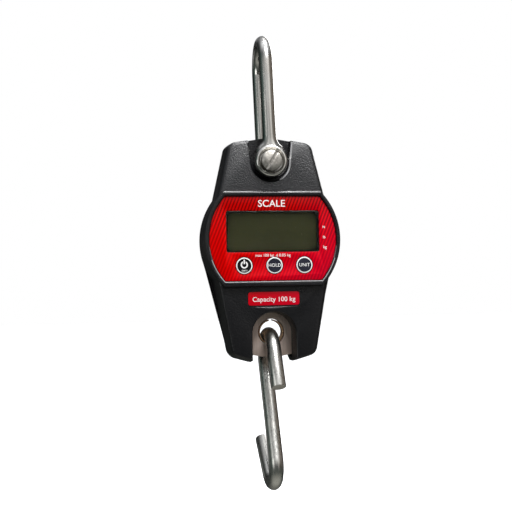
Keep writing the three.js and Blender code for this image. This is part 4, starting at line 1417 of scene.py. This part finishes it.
# ---------------------------------------------------------------------------------------
# Back of the casing
# ---------------------------------------------------------------------------------------
@dataclass
class Back:
    """Battery door and the screws."""

    datum: Datum
    palette: Palette
    casing: Casing
    door: tuple = (28.0, -21.6, 20.6, 15.9, 17.4)
    tongue: tuple = (29.2, 16.6)

    def battery_door(self) -> None:
        """Builds the sliding door with its side tongues, grip ribs and arrow."""
        half, low, high, inner, outer = self.door
        wide, step = self.tongue
        door = Workpiece.block("sliding_door", (-half, inner, low), (half, outer, high))
        door.bevel(1.2, 4, lambda p, ns: all(abs(n.y) < 0.1 for n in ns))
        door.bevel(0.3, 2, lambda p, ns: p.y > outer - 0.05)
        door.join(Workpiece.block("tongue", (-wide, inner, low + 1), (wide, step, high - 1)))
        door.cut(*[
            Workpiece.block("rib", (-7, outer - 0.5, low + 5 + i * 2), (7, outer + 1, low + 6 + i * 2))
            for i in range(5)])
        arrow = Workpiece.round("arrow", 3.0, outer - 0.35, outer + 1, 0, low + 19, 3)
        door.cut(arrow).place(self.datum.panel).finish(
            "door", "shell_plastic", self.palette["shell"], stands_for=("battery_door",))

    def screws(self) -> None:
        """Builds one screw and copies it to every place."""
        head = Workpiece.turned("screw", [
            (1.0, -8.5), (1.25, -7.6), (1.25, 9.1), (2.7, 9.1), (2.7, 10.1), (2.35, 10.75), (1.5, 11.0)], 32)
        head.cut(
            Workpiece.block("blade", (-0.3, 10.1, -1.6), (0.3, 12, 1.6)),
            Workpiece.block("blade", (-1.6, 10.1, -0.3), (1.6, 12, 0.3)))
        for i, (x, z) in enumerate(self.casing.case_screws):
            self._set(head, f"case_screw_{i + 1}", x, z)
        short = head.copy("short")
        short.slice((0, -3, 0), (0, -1, 0))
        for i, (x, z) in enumerate(self.casing.cell_screws):
            self._set(short, f"cell_screw_{i + 1}", x, z)
        for used in (head, short):
            bpy.data.objects.remove(used.obj)

    def _set(self, pattern: Workpiece, node: str, x: float, z: float) -> None:
        """Puts a copy of a screw in its hole."""
        screw = pattern.copy(node.replace("screw", "fixing"))
        screw.place(self.datum.panel + Vector((x, 0, z)) * MM).finish(
            "casing", "zinc", self.palette["zinc"], stands_for=(node,))


class CarriedOver:
    """The frame's own nodes that keep their shape, dressed by kind."""

    KINDS = {
        "zinc": (
            "board_screw_1", "board_screw_2", "board_screw_3", "board_screw_4",
            "pin_spacer_front", "pin_spacer_rear", "key_switch_power", "key_switch_hold",
            "key_switch_unit", "contact_plate_1", "contact_plate_2", "contact_plate_3",
            "contact_spring_1", "contact_spring_2", "contact_spring_3"),
        "bronze": ("pin_bush",),
        "gauge": ("strain_gauge_1", "strain_gauge_2", "strain_gauge_3", "strain_gauge_4"),
        "white": ("gauge_lead", "backlight"),
        "rubber": ("display_connector",),
        "board": ("main_board",),
        "key_black": ("controller_chip", "buzzer"),
        "battery": ("battery_1", "battery_2", "battery_3"),
        "shell_inside": ("battery_tray",),
    }

    def dress(self, palette: Palette) -> None:
        """Gives each node its material."""
        for key, names in self.KINDS.items():
            for name in names:
                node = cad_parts[name]
                node.data.materials.clear()
                node.data.materials.append(palette[key])
        LOG.info("carried over: %d nodes", sum(len(names) for names in self.KINDS.values()))


# ---------------------------------------------------------------------------------------
# Studio
# ---------------------------------------------------------------------------------------
@dataclass
class Studio:
    """Camera, floor, soft lights and surroundings."""

    datum: Datum
    eye: tuple[float, float, float] = (-59.03, -396.89, -29.62)
    yaw: float = 7.42
    pitch: float = 3.04
    roll: float = -1.15
    lens: float = 49.22
    floor_gap: float = 60.0
    ceiling: float = 2.1
    gap_x: float = 0.17
    bands: tuple = (
        (-1.0, (0.05, 0.085, 0.07)), (-0.90, (0.08, 0.12, 0.11)), (-0.80, (1.1, 1.1, 1.1)),
        (-0.66, (0.8, 0.8, 0.8)), (-0.52, (0.08, 0.08, 0.075)), (-0.20, (0.025, 0.025, 0.025)),
        (0.08, (0.02, 0.02, 0.022)), (0.26, (0.06, 0.06, 0.065)), (0.42, (1.0, 0.98, 0.95)),
        (0.53, (0.7, 0.68, 0.65)), (0.60, (0.12, 0.09, 0.07)), (0.90, (0.09, 0.06, 0.045)),
        (1.0, (0.30, 0.27, 0.25)),
    )
    windows: tuple = (
        (-1.0, (0.10, 0.10, 0.10)), (-0.68, (0.03, 0.05, 0.045)), (-0.50, (0.07, 0.11, 0.10)),
        (-0.40, (0.20, 0.25, 0.25)), (-0.28, (0.36, 0.38, 0.38)), (-0.16, (0.50, 0.52, 0.53)),
        (-0.10, (1.15, 1.15, 1.15)), (-0.03, (0.62, 0.62, 0.62)), (0.09, (0.58, 0.57, 0.55)),
        (0.16, (1.35, 1.32, 1.28)), (0.21, (1.1, 1.08, 1.05)), (0.27, (0.38, 0.36, 0.34)),
        (0.36, (0.19, 0.17, 0.15)), (0.45, (0.36, 0.32, 0.28)), (0.56, (0.20, 0.17, 0.14)),
        (0.75, (0.10, 0.08, 0.06)), (1.0, (0.10, 0.10, 0.10)),
    )

    lamps: tuple = (
        ("overhead", 5.8, 0.26, (0.12, -0.40, 0.53), (0, 0, 0)),
        ("left_fill", 0.9, 0.35, (-0.75, -0.50, 0.05), (0, 0, -0.03)),
        ("back_fill", 3.0, 0.5, (0.40, 0.65, 0.40), (0, 0, 0)),
        ("edge_top", 3.6, 0.16, (0.06, -0.02, 0.62), (0, 0, 0)),
    )

    def camera(self) -> None:
        """Sets the camera a little to the left of the scale and just under its display."""
        data = bpy.data.cameras.new("camera")
        data.lens = self.lens
        data.sensor_width = 36
        data.clip_start = 0.01
        camera = bpy.data.objects.new("camera", data)
        bpy.context.scene.collection.objects.link(camera)
        place = self.datum.panel + Vector(self.eye) * MM
        turn = (
            Matrix.Rotation(math.radians(-self.yaw), 4, "Z")
            @ Matrix.Rotation(math.radians(90 + self.pitch), 4, "X")
            @ Matrix.Rotation(math.radians(self.roll), 4, "Z"))
        camera.matrix_world = Matrix.Translation(place) @ turn
        bpy.context.scene.camera = camera

    def floor(self) -> None:
        """Lays a pale floor well under the hook."""
        low, _ = CAD_BOX
        bpy.ops.object.select_all(action="DESELECT")
        bpy.ops.mesh.primitive_plane_add(size=8, location=(0, 0, low.z - self.floor_gap * MM))
        floor = bpy.context.object
        floor.name = "floor"
        material = bpy.data.materials.new("floor_paint")
        material.use_nodes = True
        shader = material.node_tree.nodes["Principled BSDF"]
        shader.inputs["Base Color"].default_value = (0.92, 0.92, 0.92, 1)
        shader.inputs["Roughness"].default_value = 0.8
        shader.inputs["Emission Color"].default_value = (1, 1, 1, 1)
        shader.inputs["Emission Strength"].default_value = 0.7
        floor.data.materials.append(material)
        floor.visible_glossy = False
        floor.visible_diffuse = False

    def light(
        self, name: str, power: float, size: float, place: Sequence[float], aim: Sequence[float],
    ) -> None:
        """Hangs a square soft light.

        Args:
            name: the light's name.
            power: watts.
            size: side, in metres.
            place: where it hangs, in metres from the display's centre.
            aim: what it points at, in metres from the display's centre.
        """
        data = bpy.data.lights.new(name, "AREA")
        data.energy = power
        data.size = size
        light = bpy.data.objects.new(name, data)
        bpy.context.scene.collection.objects.link(light)
        light.location = self.datum.panel + Vector(place)
        look = Vector(aim) - Vector(place)
        light.rotation_euler = look.to_track_quat("-Z", "Y").to_euler()

    @staticmethod
    def _strips(sheet: Sheet, along: bpy.types.NodeSocket, strips: Sequence[tuple]) -> bpy.types.NodeSocket:
        """Draws soft upright strips.

        Args:
            sheet: the node sheet.
            along: place across the strips, from 0 to 1.
            strips: place from -1 to 1 and colour of each strip's middle.

        Returns:
            The colour.
        """
        walls = sheet.add("ValToRGB", Fac=along)
        stops = walls.color_ramp.elements
        for _ in range(len(strips) - len(stops)):
            stops.new(0.5)
        for stop, (place, color) in zip(stops, strips):
            stop.position = (place + 1) / 2
            stop.color = (*color, 1)
        return walls.outputs[0]

    def world(self) -> None:
        """Surrounds: white to the eye; strips, a bright ceiling and dim ground for the metal to mirror."""
        world = bpy.data.worlds.new("studio")
        bpy.context.scene.world = world
        world.use_nodes = True
        sheet = Sheet(world.node_tree)
        world.node_tree.nodes.clear()
        way = sheet.add("TexCoord").outputs["Generated"]
        parts = sheet.add("SeparateXYZ", Vector=way)
        turn = sheet.ramp(parts.outputs["X"], -1.0, 1.0, 0.0, 1.0)
        walls = self._strips(sheet, turn, self.bands)
        ahead = sheet.math("MULTIPLY", parts.outputs["Y"], -1.0)
        bearing = sheet.ramp(sheet.math("ARCTAN2", parts.outputs["X"], ahead), -math.pi, math.pi, 0.0, 1.0)
        windows = self._strips(sheet, bearing, self.windows)
        raised = sheet.ramp(parts.outputs["Z"], 0.12, 0.17, 0.0, 1.0)
        low = sheet.ramp(parts.outputs["Z"], -0.30, -0.02, 0.0, 1.0)
        off = sheet.math("ABSOLUTE", sheet.math("SUBTRACT", parts.outputs["X"], self.gap_x))
        aside = sheet.ramp(off, 0.10, 0.60, 0.0, 0.25)
        high = sheet.ramp(sheet.math("SUBTRACT", parts.outputs["Z"], aside), 0.24, 0.46, 0.0, 1.0)
        under = sheet.ramp(parts.outputs["Z"], -0.9, -0.45, 0.0, 1.0)
        ground = sheet.blend(under, (0.55, 0.55, 0.51, 1), (0.10, 0.115, 0.105, 1))
        around = sheet.blend(low, ground, sheet.blend(raised, walls, windows))
        tone = sheet.blend(high, around, (0.93, 0.95, 1.0, 1))
        behind = sheet.ramp(parts.outputs["Y"], 0.0, 0.35, 1.0, 0.45)
        lamp = sheet.ramp(parts.outputs["Z"], 0.72, 0.92, 0.0, 0.45)
        top = sheet.math("MULTIPLY", sheet.math(
            "ADD", sheet.ramp(parts.outputs["Z"], 0.44, 0.58, 1.0, 0.25), lamp), behind)
        strength = sheet.math("MULTIPLY", sheet.ramp(high, 0.0, 1.0, 1.0, self.ceiling), top)
        mirrored = sheet.add("Background", Color=tone, Strength=strength)
        seen = sheet.add("Background", Color=(1, 1, 1, 1), Strength=1.0)
        path = sheet.add("LightPath")
        pick = sheet.add("MixShader", Fac=path.outputs["Is Camera Ray"])
        sheet.join(mirrored.outputs[0], pick, 1)
        sheet.join(seen.outputs[0], pick, 2)
        out = sheet.add("OutputWorld")
        sheet.join(pick.outputs[0], out, "Surface")

    def build(self) -> None:
        """Sets up the whole studio."""
        self.camera()
        self.floor()
        self.world()
        for lamp in self.lamps:
            self.light(*lamp)
        view = bpy.context.scene.view_settings
        view.view_transform = "Standard"
        view.look = "None"


def main() -> None:
    """Builds the scale's looks, in order."""
    logging.basicConfig(level=logging.INFO, format="%(name)s %(message)s")
    datum = Datum()
    studio = Studio(datum)
    studio.build()
    low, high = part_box("display_window")
    palette = Palette(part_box("graphic_panel")[1].z, ((low.x + high.x) / 2, (low.z + high.z) / 2))
    casing = Casing(datum, palette)
    casing.front()
    casing.rear()
    display = Display(datum, palette)
    display.panel()
    display.pane()
    display.glass()
    display.label()
    display.legends()
    Keys(datum, palette).build()
    shackle = Shackle(datum, palette)
    shackle.bow()
    shackle.pin()
    cell = LoadCell(datum, palette)
    cell.plate()
    cell.split_bush()
    Hook(datum, palette).build()
    back = Back(datum, palette, casing)
    back.battery_door()
    back.screws()
    CarriedOver().dress(palette)


if __name__ == "__main__":
    main()
